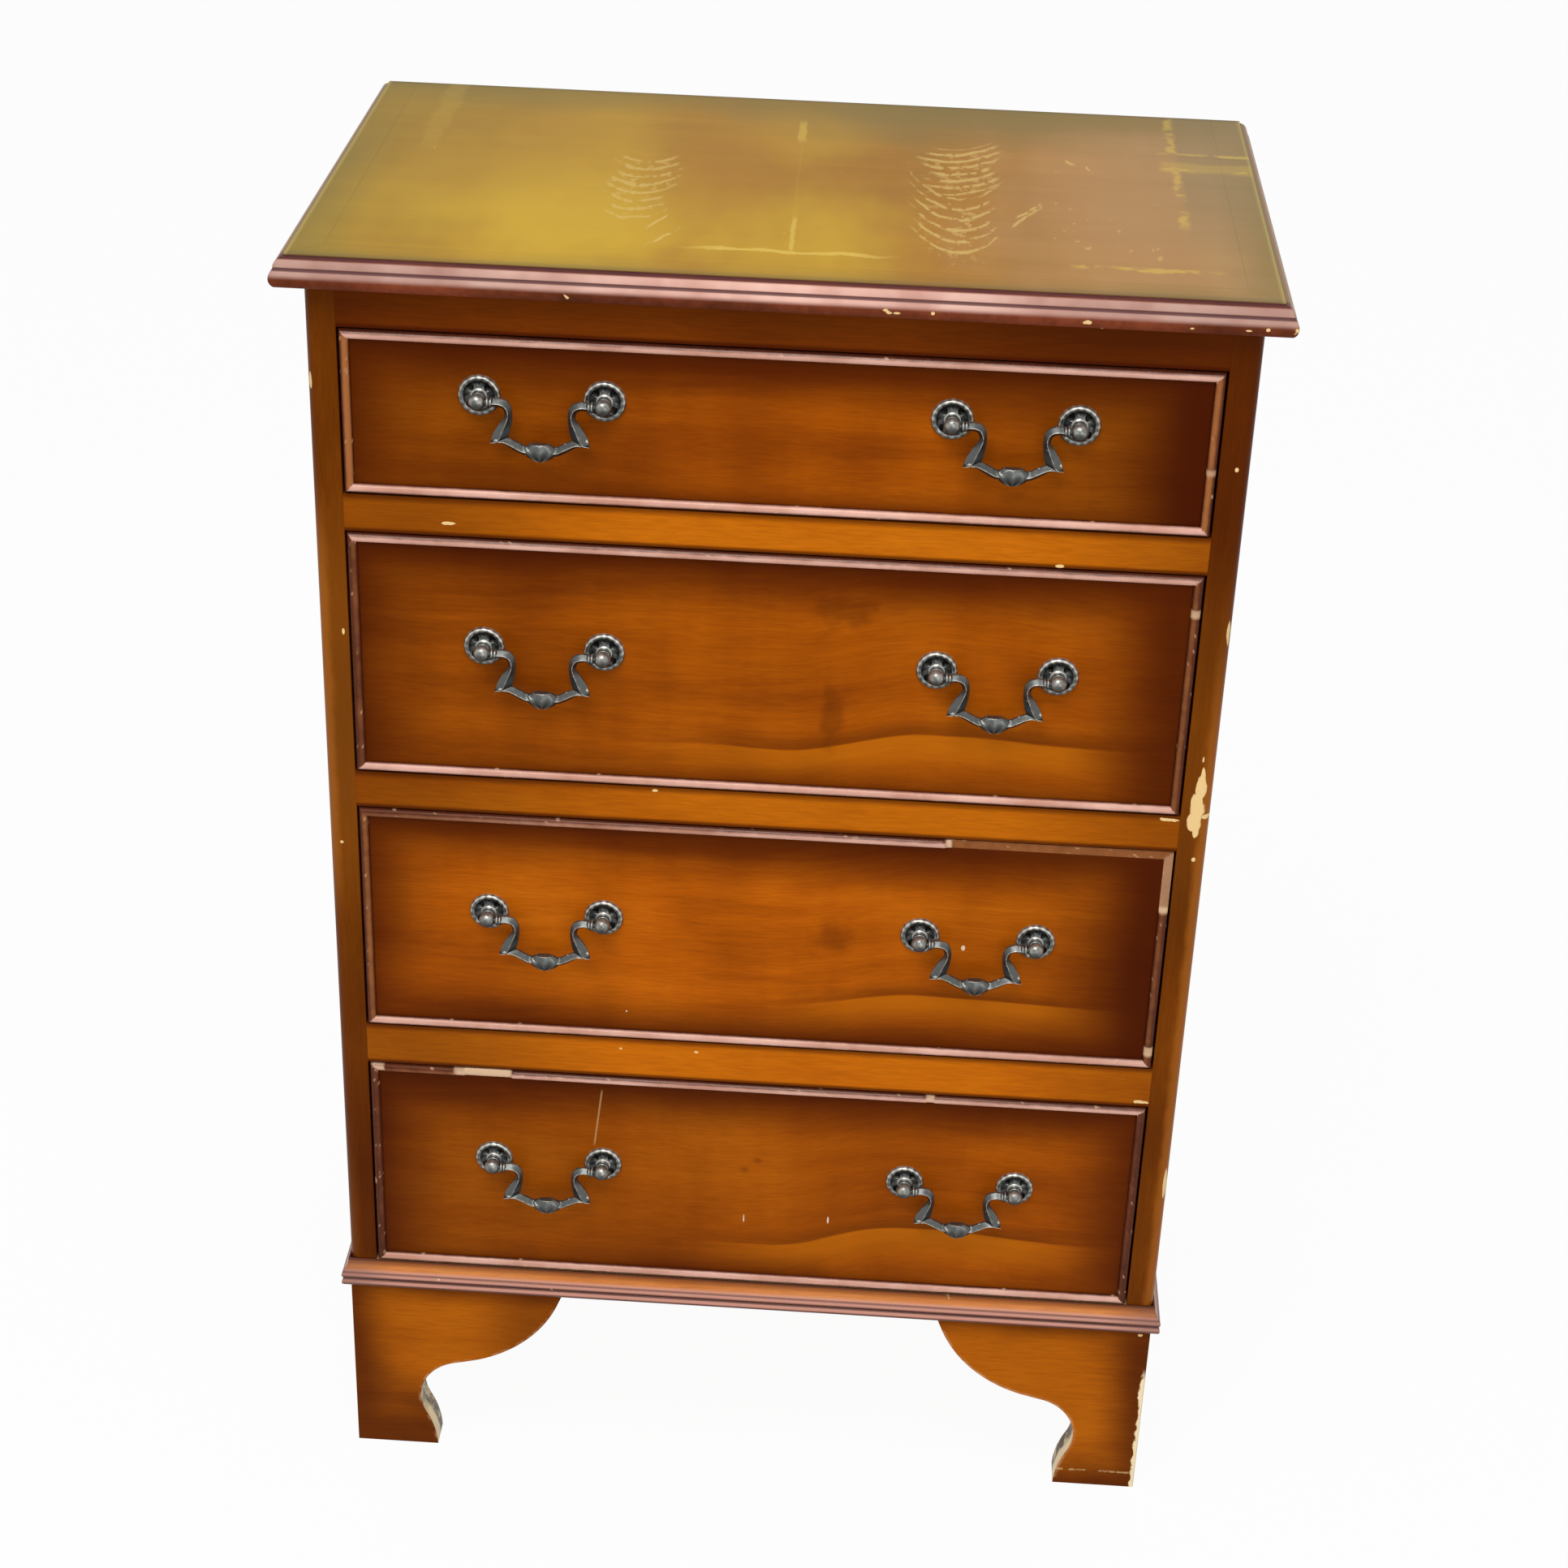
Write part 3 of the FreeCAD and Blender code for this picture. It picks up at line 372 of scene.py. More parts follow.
def drawer_veneer(drawer):
    """Figured veneer of one drawer front, shaded dark towards its edges."""
    low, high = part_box(f"drawer_{drawer}_front")
    graph = new_material(f"veneer_drawer_{drawer}")
    x, y, z = graph.axes()
    ragged = graph.noise(60.0)
    drift = graph.noise(6.0, 2.0, stretch=(1, 1, 3))
    over = z
    if drawer in FIGURES:
        height, crest = FIGURES[drawer]
        line = x.rise(0.005, 0.090) * crest + (low.z + height)
        line = x.rise(0.105, 0.20) * FIGURE_FALL + line
        over = z - line.jitter(drift, 0.012)
    bent = graph.joined(x, y + drawer * 0.31, over)
    colour, fibre = wood(graph, ALONG_X, FRONT_TONES, 1.2, FRONT_LEVELS[drawer], bent)
    # Vertical bands of brush marks in the lacquer
    brushing_and_sheen = graph.noise(34.0, stretch=(1, 1, 0.12))
    colour = colour.tinted(brushing_and_sheen, (0.3, (0.90, 0.88, 0.86)), (0.7, (1.08, 1.09, 1.1)))
    lit = abs(x - 0.02).rise(0.03, 0.20) * -FRONT_GLOWS[drawer] + 1.0
    colour = colour.dimmed(x * (FRONT_LEANS[drawer] / FRONT_HALF) + lit)
    if drawer in FIGURES:
        span = x.rise(*FIGURE_STARTS[drawer]) * x.rise(0.215, 0.15)
        dark = over.rise(-0.0012, 0.0006) * over.rise(0.012, 0.0) * span
        amber = over.rise(0.0002, -0.0012) * over.rise(-0.026, -0.004) * span
        colour = colour.paint(FIGURE_DARK, dark * 0.66).paint(FIGURE_AMBER, amber * 0.55)
    for place in KNOTS.get(drawer, ()):
        colour = colour.paint(KNOT_DARK, spot(x, z, place, ragged, 1.3) * 0.42)
    shifted_low = (low.x + LEFT_SHIFT, low.z + LOWER_SHIFTS[drawer])
    shifted_high = (high.x + RIGHT_SHIFTS[drawer], high.z + UPPER_SHIFT)
    margin = distance_to_edge(x, z, shifted_low, shifted_high).jitter(drift, 0.025)
    colour = colour.paint(EDGE_DARK, margin.rise(0.064, 0.004) * 0.88)
    if drawer in RIGHT_STRIPS:
        strip = x.rise(high.x - 0.034, high.x - 0.010)
        colour = colour.paint(EDGE_DARK, strip * RIGHT_STRIPS[drawer])
    if drawer in LONG_SCRATCHES:
        foot, head, across, slope = LONG_SCRATCHES[drawer]
        off = x - ((z - head) * slope + across)
        scored = off.between(-0.0003, 0.0003, 0.0004) * z.between(foot, head, 0.004)
        colour = colour.paint(RAW_WOOD, scored * 0.30)
    for place in FLECKS.get(drawer, ()):
        colour = colour.paint(FLECK_PALE, spot(x, z, place, ragged) * 0.8)
    return lacquer(graph, colour, fibre)


# Brightness of the rails and half their length, then chips of the rails and stiles as centre and radii
RAIL_LEVELS = {"upper": 1.0, "middle": 0.95, "lower": 1.12}
RAIL_HALF = 0.224
RAIL_CHIPS = ((0.2185, 0.4728, 0.0052, 0.0010), (0.2191, 0.2875, 0.0045, 0.0012),
              (-0.1689, 0.6255, 0.0032, 0.0008), (-0.060, 0.4735, 0.0014, 0.0007),
              (-0.078, 0.3035, 0.0010, 0.0006), (-0.035, 0.3040, 0.0010, 0.0006),
              (0.148, 0.6195, 0.0020, 0.0007))
STILE_CHIPS = ((0.2336, 0.5005, 0.0012, 0.0060), (0.2331, 0.4920, 0.0025, 0.0085),
               (0.2322, 0.4820, 0.0036, 0.0085), (0.2316, 0.4720, 0.0040, 0.0075),
               (0.2328, 0.4655, 0.0022, 0.0040), (0.2375, 0.4755, 0.0020, 0.0012),
               (0.2335, 0.4490, 0.0009, 0.0010), (0.2328, 0.5110, 0.0005, 0.0020),
               (0.2330, 0.678, 0.0010, 0.0012), (0.2385, 0.585, 0.0010, 0.0080),
               (-0.2385, 0.700, 0.0008, 0.0040), (-0.2330, 0.430, 0.0010, 0.0010),
               (0.2385, 0.230, 0.0010, 0.010), (-0.2270, 0.560, 0.0008, 0.0020))
# Lower front and upper rear corner of a side board
SIDE_LOW = (-0.142, FOOT_HEIGHT)
SIDE_HIGH = (0.156, 0.754)


def chipped(colour, chips, across, up, ragged):
    """Colour with pale raw wood showing in small chips."""
    for place in chips:
        colour = colour.paint(RAW_WOOD, spot(across, up, place, ragged))
    return colour


def rail_veneer(rail, tones, middle, level):
    """Amber veneer of a rail, darker towards its ends, with painted shade along its upper and lower edges."""
    low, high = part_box(rail)
    graph = new_material(f"veneer_{rail}")
    x, _, z = graph.axes()
    colour, fibre = wood(graph, ALONG_X, tones, 1.0, level)
    ends = (RAIL_HALF - abs(x - middle)).jitter(graph.noise(8.0), 0.06)
    colour = colour.paint(EDGE_DARK, ends.rise(0.13, 0.0) * 0.55)
    # Painted shade along the upper edge, under the bead or moulding above, and along the lower edge, in the
    # gap over the bead below
    upper = z.rise(high.z - 0.0045, high.z - 0.0005) * 0.65
    lower = z.rise(low.z + 0.0030, low.z + 0.0008) * 0.8
    colour = colour.paint(EDGE_DARK, upper | lower)
    return lacquer(graph, chipped(colour, RAIL_CHIPS, x, z, graph.noise(CHIP_SCALE)), fibre)


def side_veneer():
    """Upright veneer of the sides and of their front edges, which show as stiles, with painted light on their
    rounded front corners and painted shade under the top.
    """
    graph = new_material("veneer_sides")
    x, y, z = graph.axes()
    right = x.rise(0.0, 0.01)
    left = x.rise(0.0, -0.01)
    colour, fibre = wood(graph, ALONG_Z, STILE_TONES, 1.2)
    margin = distance_to_edge(y, z, SIDE_LOW, SIDE_HIGH).jitter(graph.noise(7.0), 0.05)
    broad = graph.noise(2.2, 4.0, 0.6, 0.8, ALONG_Z)
    broad = graph.ramp(broad, ((0.3, (0.70, 0.62, 0.5)), (0.7, (1.18, 1.2, 1.2))))
    flank = graph.mix(1.0, FLANK, broad, "MULTIPLY")
    colour = colour.paint(flank, y.rise(-0.135, -0.125) * margin.rise(0.01, 0.09) * 0.8)
    ragged = graph.noise(170.0, stretch=(1, 1, 0.4))
    corner = (CARCASS_HALF - abs(x)).jitter(ragged, 0.004)
    # Rubbed front corner of the stile
    rubbing_and_highlight = corner.rise(0.0016, 0.0002) * y.rise(-0.1400, -0.1412)
    colour = colour.paint(STILE_RUBBED, rubbing_and_highlight * 0.7)
    face = y.rise(-0.132, -0.136)
    lit = z.between(0.44, 0.58, 0.07)
    colour = colour.paint(STILE_LIT, lit * (right * -0.27 + 0.45) * face)
    on_left = left * (lit | z.rise(0.26, 0.16) * 0.6)
    on_right = right * z.rise(0.64, 0.48)
    # Painted light on the rounded front corners: along the lit band and low down on the left, and below the
    # shade of the top on the right
    strip = corner.rise(0.0080, 0.0030) * face * (on_left | on_right)
    colour = colour.paint(STILE_CORNER_LIGHT, strip * 0.65)
    # Painted shade under the top on the upper right stile; the left stile darker towards the bottom
    upper_right = right * z.rise(0.52, 0.68) * 0.7
    lower_left = left * z.rise(0.40, 0.22) * 0.5
    colour = colour.paint(EDGE_DARK, (upper_right | lower_left) * face)
    calm = (ragged - 0.5) * 0.55 + 0.5
    return lacquer(graph, colour.paint(chipped(colour, STILE_CHIPS, x, z, calm), face), fibre)


# Feet, with chips at the end of the left wing and under the right corner of the plinth
FOOT_CHIPS = ((-0.1160, 0.1075, 0.0012, 0.0014), (-0.1200, 0.1020, 0.0016, 0.0012),
              (0.2340, 0.1190, 0.0016, 0.0010))
RIM_RADIUS = 0.0035


def foot_veneer():
    """Veneer of the bracket feet, with painted shade under the plinth, bare sawn edges and a few chips."""
    graph = new_material("veneer_feet")
    x, y, z = graph.axes()
    right = x.rise(0.0, 0.01)
    colour, fibre = wood(graph, ALONG_X, FOOT_TONES, 1.2)
    cloud = graph.noise(14.0, 2.0)
    ragged = graph.noise(150.0, 4.0)
    outer = CARCASS_HALF - abs(x)
    # Darker towards the outer corner and the floor, and painted shade under the plinth
    margin = outer.smooth_least(z * (right * 0.25 + 0.55), 0.02)
    margin = margin.smooth_least((FOOT_HEIGHT + 0.004 - z) * 1.6, 0.02).jitter(cloud, 0.03)
    colour = colour.paint(EDGE_DARK, margin.rise(0.034, 0.0) * 0.80)
    wing = outer.rise(0.060, 0.110) * x.rise(0.0, -0.01)
    colour = colour.paint(EDGE_DARK, wing * 0.5)
    # Sawn edges: dusty in front, pale where the face has split off, and plain behind and under the wings
    clouded = cloud.rise(0.35, 0.65)
    dusty = graph.mix(clouded, GREY_WOOD, DUST_BROWN).paint(CREAM, ragged.rise(0.52, 0.60) * 0.7)
    dusty = dusty.paint(DUST_DARK, ragged.rise(0.46, 0.38) * 0.8)
    deeper = z.rise(0.045, 0.005) * -0.004 + y.jitter(ragged, 0.008)
    on_right = right * z.rise(0.100, 0.080)
    split = on_right | z.rise(0.038, 0.020) * 0.8
    bare = dusty.paint(CREAM, deeper.rise(-0.1355, -0.1375) * split)
    plain = y.rise(-0.122, -0.112) | z.rise(0.072, 0.086)
    bare = bare.paint(graph.mix(clouded, SAWN_DARK, SAWN_PALE), plain)
    normal = graph.node("ShaderNodeNewGeometry", output="True Normal")
    veneered = graph.axes(normal)[1].rise(-0.4, -0.6) | outer.rise(0.0004, 0.0002)
    colour = bare.paint(colour, veneered)
    # Worn rim of the front feet, bare strip down the right-hand corner and scuffed line over the floor
    inputs = {0: graph.rounded(RIM_RADIUS), 1: normal}
    turn = graph.node("ShaderNodeVectorMath", inputs, "Value", operation="DOT_PRODUCT")
    rim = turn.rise(0.99, 0.90) * outer.rise(0.003, 0.006) * z.between(0.006, 0.112, 0.003)
    share = on_right * 0.5 + ragged.rise(0.42, 0.60)
    colour = colour.paint(RIM_WOOD, rim * y.rise(-0.120, -0.130) * share * 0.65)
    worn = (CARCASS_HALF - x).jitter(ragged, 0.006).rise(0.0028, 0.0018)
    near_face = y.jitter(ragged, 0.006).rise(-0.1366, -0.1380)
    colour = colour.paint(CREAM, worn * z.between(0.0, 0.084, 0.01) * near_face)
    scuff = z.jitter(ragged, 0.002).between(0.0108, 0.0116, 0.0006)
    colour = colour.paint(RAW_WOOD, scuff * on_right * veneered * ragged.rise(0.42, 0.55) * 0.45)
    return lacquer(graph, chipped(colour, FOOT_CHIPS, x, z, ragged), fibre)


# Top

TOP_LOW, TOP_HEIGHT = [corner.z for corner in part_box("top_panel")]
# Lines of the crossbanding, to the sides of the middle and along the front, and the lean of the middle seam
BAND_X = 0.205
BAND_FRONT = -0.110
SEAM_LEAN = 0.02
# Faded and brown patches, partly painted reflection, as centre, radii, strength and colour
PATCHES = (((-0.125, -0.080, 0.072, 0.085), 0.80, (0.58, 0.360, 0.018)),
           ((-0.115, 0.060, 0.028, 0.10), 0.45, (0.47, 0.260, 0.018)),
           ((-0.002, 0.095, 0.030, 0.050), 0.55, (0.49, 0.280, 0.018)),
           ((0.000, -0.100, 0.056, 0.070), 0.75, (0.58, 0.350, 0.016)),
           ((-0.180, 0.030, 0.040, 0.080), 0.40, (0.36, 0.176, 0.013)),
           ((-0.045, 0.020, 0.030, 0.090), 0.50, (0.36, 0.154, 0.011)),
           ((0.115, 0.130, 0.100, 0.045), 0.65, (0.22, 0.150, 0.040)),
           ((0.178, -0.020, 0.045, 0.120), 0.60, (0.42, 0.225, 0.085)))
# Rectangle from which the darker border is measured
BORDER_LOW = (-0.266, -0.172 / END_STRETCH)
BORDER_HIGH = (0.262, TOP_BACK / END_STRETCH)
# Heights of the moulded edge over its underside
LIP_PINK = 0.0075
QUIRK = 0.0090
OVOLO = 0.0107
FILLET = 0.0146
# Chips along the lower edge of the lip, as place along it, height and radii
LIP_CHIPS = ((0.057, 0.0034, 0.0014, 0.0006), (0.075, 0.0040, 0.0008, 0.0008),
             (0.151, 0.0036, 0.0022, 0.0012), (0.202, 0.0030, 0.0010, 0.0005),
             (0.230, 0.0032, 0.0016, 0.0006), (0.239, 0.0040, 0.0010, 0.0008))


def top_finish():
    """Faded, crossbanded top with worn lacquer, a painted reflection and sheen, and a painted highlight along
    its ends, over a moulded edge of red-brown wood.
    """
    graph = new_material("veneer_top")
    x, y, z = graph.axes()
    fibre = graph.noise(FIBRE_SCALE, 2.0, 0.7, stretch=ALONG_X)
    cloud = graph.noise(7.0, 3.0, 0.6, stretch=(1.6, 0.7, 1))
    # Colour changing from left to right: faded, with a painted reflection of the surroundings in it
    colour = graph.ramp(x.jitter(cloud, 0.20) * 2.0 + 0.5, TOP_FADE_AND_REFLECTION_STOPS)
    streak = graph.noise(STREAK_SCALE, 4.0, 0.6, stretch=ALONG_X)
    colour = colour.tinted(streak, (0.3, (0.90, 0.89, 0.86)), (0.7, (1.06, 1.06, 1.06)))
    # Painted sheen: faint light and dark bands across the lacquer
    brushing_and_sheen = graph.noise(22.0, 3.0, 0.6, stretch=(1, 0.12, 1))
    colour = colour.tinted(brushing_and_sheen, (0.3, (0.93, 0.93, 0.90)), (0.7, (1.06, 1.07, 1.10)))
    for place, share, tone in PATCHES:
        colour = colour.paint(tone, spot(x, y, place, cloud, 1.6) * share)
    margin = distance_to_edge(x, y / END_STRETCH, BORDER_LOW, BORDER_HIGH).jitter(cloud, 0.05)
    colour = colour.paint(TOP_BORDER, margin.rise(0.052, 0.004) * 0.62)
    banded = x.rise(BAND_X - 0.002, BAND_X + 0.004) * y.rise(-0.10, 0.02)
    colour = colour.paint(TOP_BAND, banded * 0.45)
    rim = y.rise(TOP_FRONT + 0.007, TOP_FRONT) | y.rise(TOP_BACK - 0.007, TOP_BACK)
    colour = colour.paint(TOP_RIM, rim * 0.40)
    # Painted highlight along the ends
    colour = colour.paint(TOP_EDGE_HIGHLIGHT, abs(x).rise(TOP_HALF - 0.0025, TOP_HALF - 0.0005) * 0.45)
    colour = colour.paint(TOP_LINE, top_lines(x, y, graph.noise(55.0, 4.0, 0.6)))
    colour = colour.paint(TOP_WORN, top_wear(graph, x, y))
    moulded = z.rise(TOP_HEIGHT - 0.0002, TOP_HEIGHT - 0.0006)
    colour = colour.paint(edge_colour(graph, x, y, z - TOP_LOW), moulded)
    return lacquer(graph, colour, fibre, 0.34, 0.03)


def edge_colour(graph, x, y, up):
    """Red-brown edge of the top, with a painted pinkish reflection on the lip and ovolo and painted shade in
    the quirk and under the fillet.
    """
    out = abs(x)
    # Painted pinkish reflection on the lip and ovolo, painted shade in the quirk and under the fillet
    pink = up.between(LIP_PINK, QUIRK - 0.0008, 0.0030) | up.between(OVOLO, FILLET - 0.0010, 0.0008)
    dark = up.between(QUIRK, OVOLO - 0.0008, 0.0006) | up.rise(FILLET - 0.0006, FILLET) * 0.8
    mottled = graph.ramp(graph.noise(30.0), LIP_REFLECTION_STOPS).dimmed(out.rise(0.02, 0.20) * -0.38 + 1.06)
    colour = mahogany(graph)[0].paint(mottled, pink).paint(MAHOGANY_SHADE, dark * 0.85)
    # Painted reflection on the returned lip near the front corners
    returned = out.rise(TOP_HALF, TOP_HALF + 0.0006) * y.rise(-0.1475, -0.1400)
    colour = colour.paint(LIP_RETURN_REFLECTION, returned * 0.6)
    nicks = graph.noise(110.0, 2.0, 0.5).rise(0.70, 0.73)
    colour = colour.paint(RAW_WOOD, nicks * up.rise(0.0085, 0.0060))
    chips = chipped(colour, LIP_CHIPS, x, up, graph.noise(CHIP_SCALE))
    return colour.paint(chips, y.rise(-0.140, -0.150))


# Levels of a noise over which a line shows, for lines with wide and with narrow gaps
WIDE_GAPS = (0.44, 0.56)
NARROW_GAPS = (0.36, 0.50)
# Worn lines: way, low and high side and soft margin, start and end and soft margin, gaps and strength
WORN_LINES = (
    ("across", BAND_FRONT - 0.0010, BAND_FRONT + 0.0010, 0.0020, -0.030, 0.032, 0.030, None, 1.0),
    ("across", BAND_FRONT - 0.0020, BAND_FRONT + 0.0012, 0.0020, 0.150, 0.212, 0.010, NARROW_GAPS, 0.62),
    ("across", 0.0570, 0.0590, 0.0035, 0.200, 0.245, 0.006, WIDE_GAPS, 0.7),
    ("across", 0.0850, 0.0860, 0.0030, 0.200, 0.245, 0.006, WIDE_GAPS, 0.7),
    ("across", 0.0560, 0.0660, 0.0060, 0.200, 0.245, 0.006, None, 0.315),
    ("along", BAND_X - 0.0010, BAND_X + 0.0010, 0.0030, -0.030, TOP_BACK, 0.020, WIDE_GAPS, 0.6),
    ("along", -BAND_X - 0.0040, -BAND_X + 0.0030, 0.0040, 0.050, TOP_BACK, 0.030, None, 0.15),
    ("seam", -0.0016, 0.0012, 0.0016, 0.084, 0.106, 0.014, None, 0.56),
    ("seam", -0.0006, 0.0004, 0.0012, -0.102, -0.062, 0.012, None, 0.8),
    ("seam", -0.0003, 0.0003, 0.0010, -0.110, 0.100, 0.010, None, 0.08))
LINE_STRENGTH = 0.8


def top_lines(x, y, broken):
    """Worn lines along the crossbanding and the middle seam."""
    offs = {"across": y.jitter(broken, 0.012), "along": x.jitter(broken, 0.012),
            "seam": y * SEAM_LEAN + x.jitter(broken, 0.004)}
    lines = []
    for way, low, high, soft, start, end, fade, gaps, strength in WORN_LINES:
        run = x if way == "across" else y
        line = offs[way].between(low, high, soft) * run.between(start, end, fade) * strength
        lines.append(line * broken.rise(*gaps) if gaps else line)
    return largest(lines) * LINE_STRENGTH


# Fans of worn crescents: middle, half width, near and far ends, pitch, bow, slant and strength
FANS = ((-0.083, 0.0175, -0.068, 0.036, 0.0135, 0.014, 0.001, 0.80),
        (0.087, 0.021, -0.004, 0.074, 0.0115, 0.012, 0.009, 1.0),
        (0.085, 0.024, -0.098, -0.014, 0.0170, 0.036, -0.003, 1.0))
CRESCENT_HALF = 1.2 * MM
CRESCENT_SOFT = 2.2 * MM
# Single scratches: middle as two numbers, half length across and slant
SCRATCHES = ((0.122, -0.036, 0.0085, 0.018), (0.123, -0.027, 0.0070, 0.013), (0.147, 0.060, 0.0030, -0.004),
             (0.157, 0.050, 0.0022, -0.004), (-0.069, -0.073, 0.0050, 0.012), (-0.064, -0.096, 0.0080, 0.015))
# Where loose flecks lie, as centre and radii
FLECKED = (0.160, -0.050, 0.026, 0.05)


def stroke(off):
    """1 near the middle of a stroke."""
    return off.rise(CRESCENT_HALF + CRESCENT_SOFT, CRESCENT_HALF)


def fan(x, bent, ragged, shape):
    """Worn crescents at an even pitch."""
    middle, half, near, far, pitch, bow, slant, strength = shape
    across = x * (1 / half) - middle / half
    level = bent - (across * bow + slant) * across
    ends = abs(across).jitter(ragged, 1.6).rise(1.05, 0.75)
    return stroke((level - near).zigzag(pitch / 2)) * strength * ends * level.between(near, far, pitch / 4)


def scratch(x, bent, shape):
    """One slanted scratch."""
    middle, depth, half, slant = shape
    across = x * (1 / half) - middle / half
    return stroke(abs(bent - (across * slant + depth))) * abs(across).rise(1.05, 0.75)


def top_wear(graph, x, y):
    """Fans and scratches where the lacquer has lifted, and loose flecks around them."""
    crumbs = graph.noise(210.0, 2.0, stretch=(1, 0.5, 1))
    bent = y.jitter(graph.noise(90.0), 0.009)
    ripple = graph.noise(30.0)
    masks = [fan(x, bent, ripple, shape) for shape in FANS]
    masks += [scratch(x, bent, shape) for shape in SCRATCHES]
    worn = largest(masks) * crumbs.rise(0.36, 0.48)
    flecks = crumbs.rise(0.66, 0.70) * spot(x, y, FLECKED, ripple)
    stray = crumbs.rise(0.75, 0.78) * x.between(-0.20, 0.20, 0.02) * y.between(-0.11, 0.09, 0.02)
    around = [spot(x, y, (middle, (near + far) / 2, half * 0.8, (far - near) / 2), ripple, 0.8)
              for middle, half, near, far, *_ in FANS]
    dust = crumbs.rise(0.57, 0.64) * largest(around)
    return worn * 0.66 | (flecks | dust) * 0.42 | stray * 0.35


# Mouldings and beads, with heights of the plinth moulding over its underside
REED_CROWNS = ((0.0030, 0.0046), (0.0080, 0.0096))
REED_GROOVE = (0.0048, 0.0062)
COVE_GROOVE = (0.0095, 0.0101)
COVE_FOOT = (0.0098, 0.0104)
COVE_HEAD = (0.0128, 0.0160)
COVE_TOP = (0.0160, 0.0174)


def mahogany(graph):
    """Red-brown wood of the mouldings and its fine grain."""
    fibre = graph.noise(260.0, 3.0, 0.6)
    stops = [(place, [part * level for part in MAHOGANY]) for place, level in ((0.3, 0.72), (0.7, 1.5))]
    colour = graph.ramp(graph.noise(22.0), stops)
    return colour.tinted(fibre, (0.35, (0.85, 0.83, 0.8)), (0.65, (1.1, 1.1, 1.1))), fibre


def bead_finish():
    """Lacquered bead wood, with painted shade along its sides, a painted highlight on the crown of its nose,
    pinkish on the level beads, and pale where it is chipped.
    """
    graph = new_material("cock_bead_wood")
    side, fibre = mahogany(graph)
    pink = graph.attribute("level")
    nose = graph.mix(pink, BEAD_TAN, graph.ramp(graph.noise(26.0), BEAD_HIGHLIGHT_STOPS))
    # Painted highlight on the crown, tan on the upright beads and pink on the level ones, over painted shade
    # on the sides
    rubbing_and_highlight = graph.attribute("crown").jitter(graph.noise(120.0, 2.0), 0.3)
    colour = side.paint(BEAD_SIDE_SHADE, 0.6).paint(nose, rubbing_and_highlight.rise(0.40, 0.95))
    colour = colour.paint(BEAD_RAW, graph.attribute("wear"))
    return lacquer(graph, colour, fibre, 0.27, pink * 0.35 + 0.15, graph.mix(pink, TAN_TINT, PINK_TINT))


def plinth_finish():
    """Amber cove over two reeds, with painted highlights on the reeds' crowns and the cove's foot and painted
    shade in the grooves and along the top of the cove.
    """
    graph = new_material("plinth_moulding")
    x, _, z = graph.axes()
    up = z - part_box("plinth_moulding_front")[0].z
    reeds, fibre = mahogany(graph)
    # Painted highlights on the crowns of the reeds and painted shade in the grooves
    crowns = largest([up.between(*crown, 0.0012) for crown in REED_CROWNS])
    grooves = up.between(*REED_GROOVE, 0.0008) | up.rise(0.0024, 0.0010)
    reeds = reeds.paint(MAHOGANY_HIGHLIGHT, crowns * 0.85).paint(REED_SHADE, grooves * 0.9)
    # Painted shade at the top of the cove and a painted highlight at its foot
    cove = wood(graph, ALONG_X, COVE_TONES)[0].paint(COVE_SHADE, up.rise(*COVE_HEAD) * 0.75)
    cove = cove.paint(MAHOGANY_HIGHLIGHT, up.rise(0.0122, 0.0106) * 0.7)
    colour = reeds.paint(cove, up.rise(*COVE_FOOT))
    # Painted shade in the groove between the cove and the reeds
    colour = colour.paint(REED_SHADE, up.between(*COVE_GROOVE, 0.0005) * 0.6)
    colour = colour.paint(RAW_WOOD, graph.noise(95.0, 2.0, 0.5).rise(0.74, 0.765))
    colour = colour.paint(PLINTH_ENDS, abs(x).rise(0.208, CARCASS_HALF) * 0.45)
    # Painted shade along the top edge
    colour = colour.paint(EDGE_DARK, up.rise(*COVE_TOP) * 0.75)
    return lacquer(graph, colour, fibre, 0.28, 0.3, PINK_TINT)


# Plain inner wood, boards and metal

# Pins of the back: spacing, height of the first one, distance from the middle, and radii about their place
PIN_PITCH = 0.09
PIN_START = 0.15
PIN_ACROSS = 0.226
PIN_SPOT = (0.0, 0.0, 0.0015, 0.0015)


def plain_wood(name, grain):
    """Sanded wood without lacquer."""
    graph = new_material(name)
    colour, fibre = wood(graph, grain, BEECH, 0.8)
    graph.set(Base_Color=colour, Roughness=0.62, Specular_IOR_Level=0.25)
    graph.surface(fibre, 0.0003, 0.5)
    return graph.owner


def board(name, pinned):
    """Smooth brown hardboard with fine fibres, and the pins along the edges of the back."""
    graph = new_material(name)
    felt = graph.noise(420.0, 4.0, 0.7)
    colour = graph.ramp(felt * 0.5 + graph.noise(8.0) * 0.5, BOARD_STOPS)
    if pinned:
        x, _, z = graph.axes()
        off = (z - PIN_START).zigzag(PIN_PITCH / 2)
        colour = colour.paint(PIN_DARK, spot(abs(x) - PIN_ACROSS, off, PIN_SPOT, felt * 0.02 + 0.49))
    graph.set(Base_Color=colour, Roughness=0.66, Specular_IOR_Level=0.2)
    graph.surface(felt, 0.0002, 0.6)
    return graph.owner


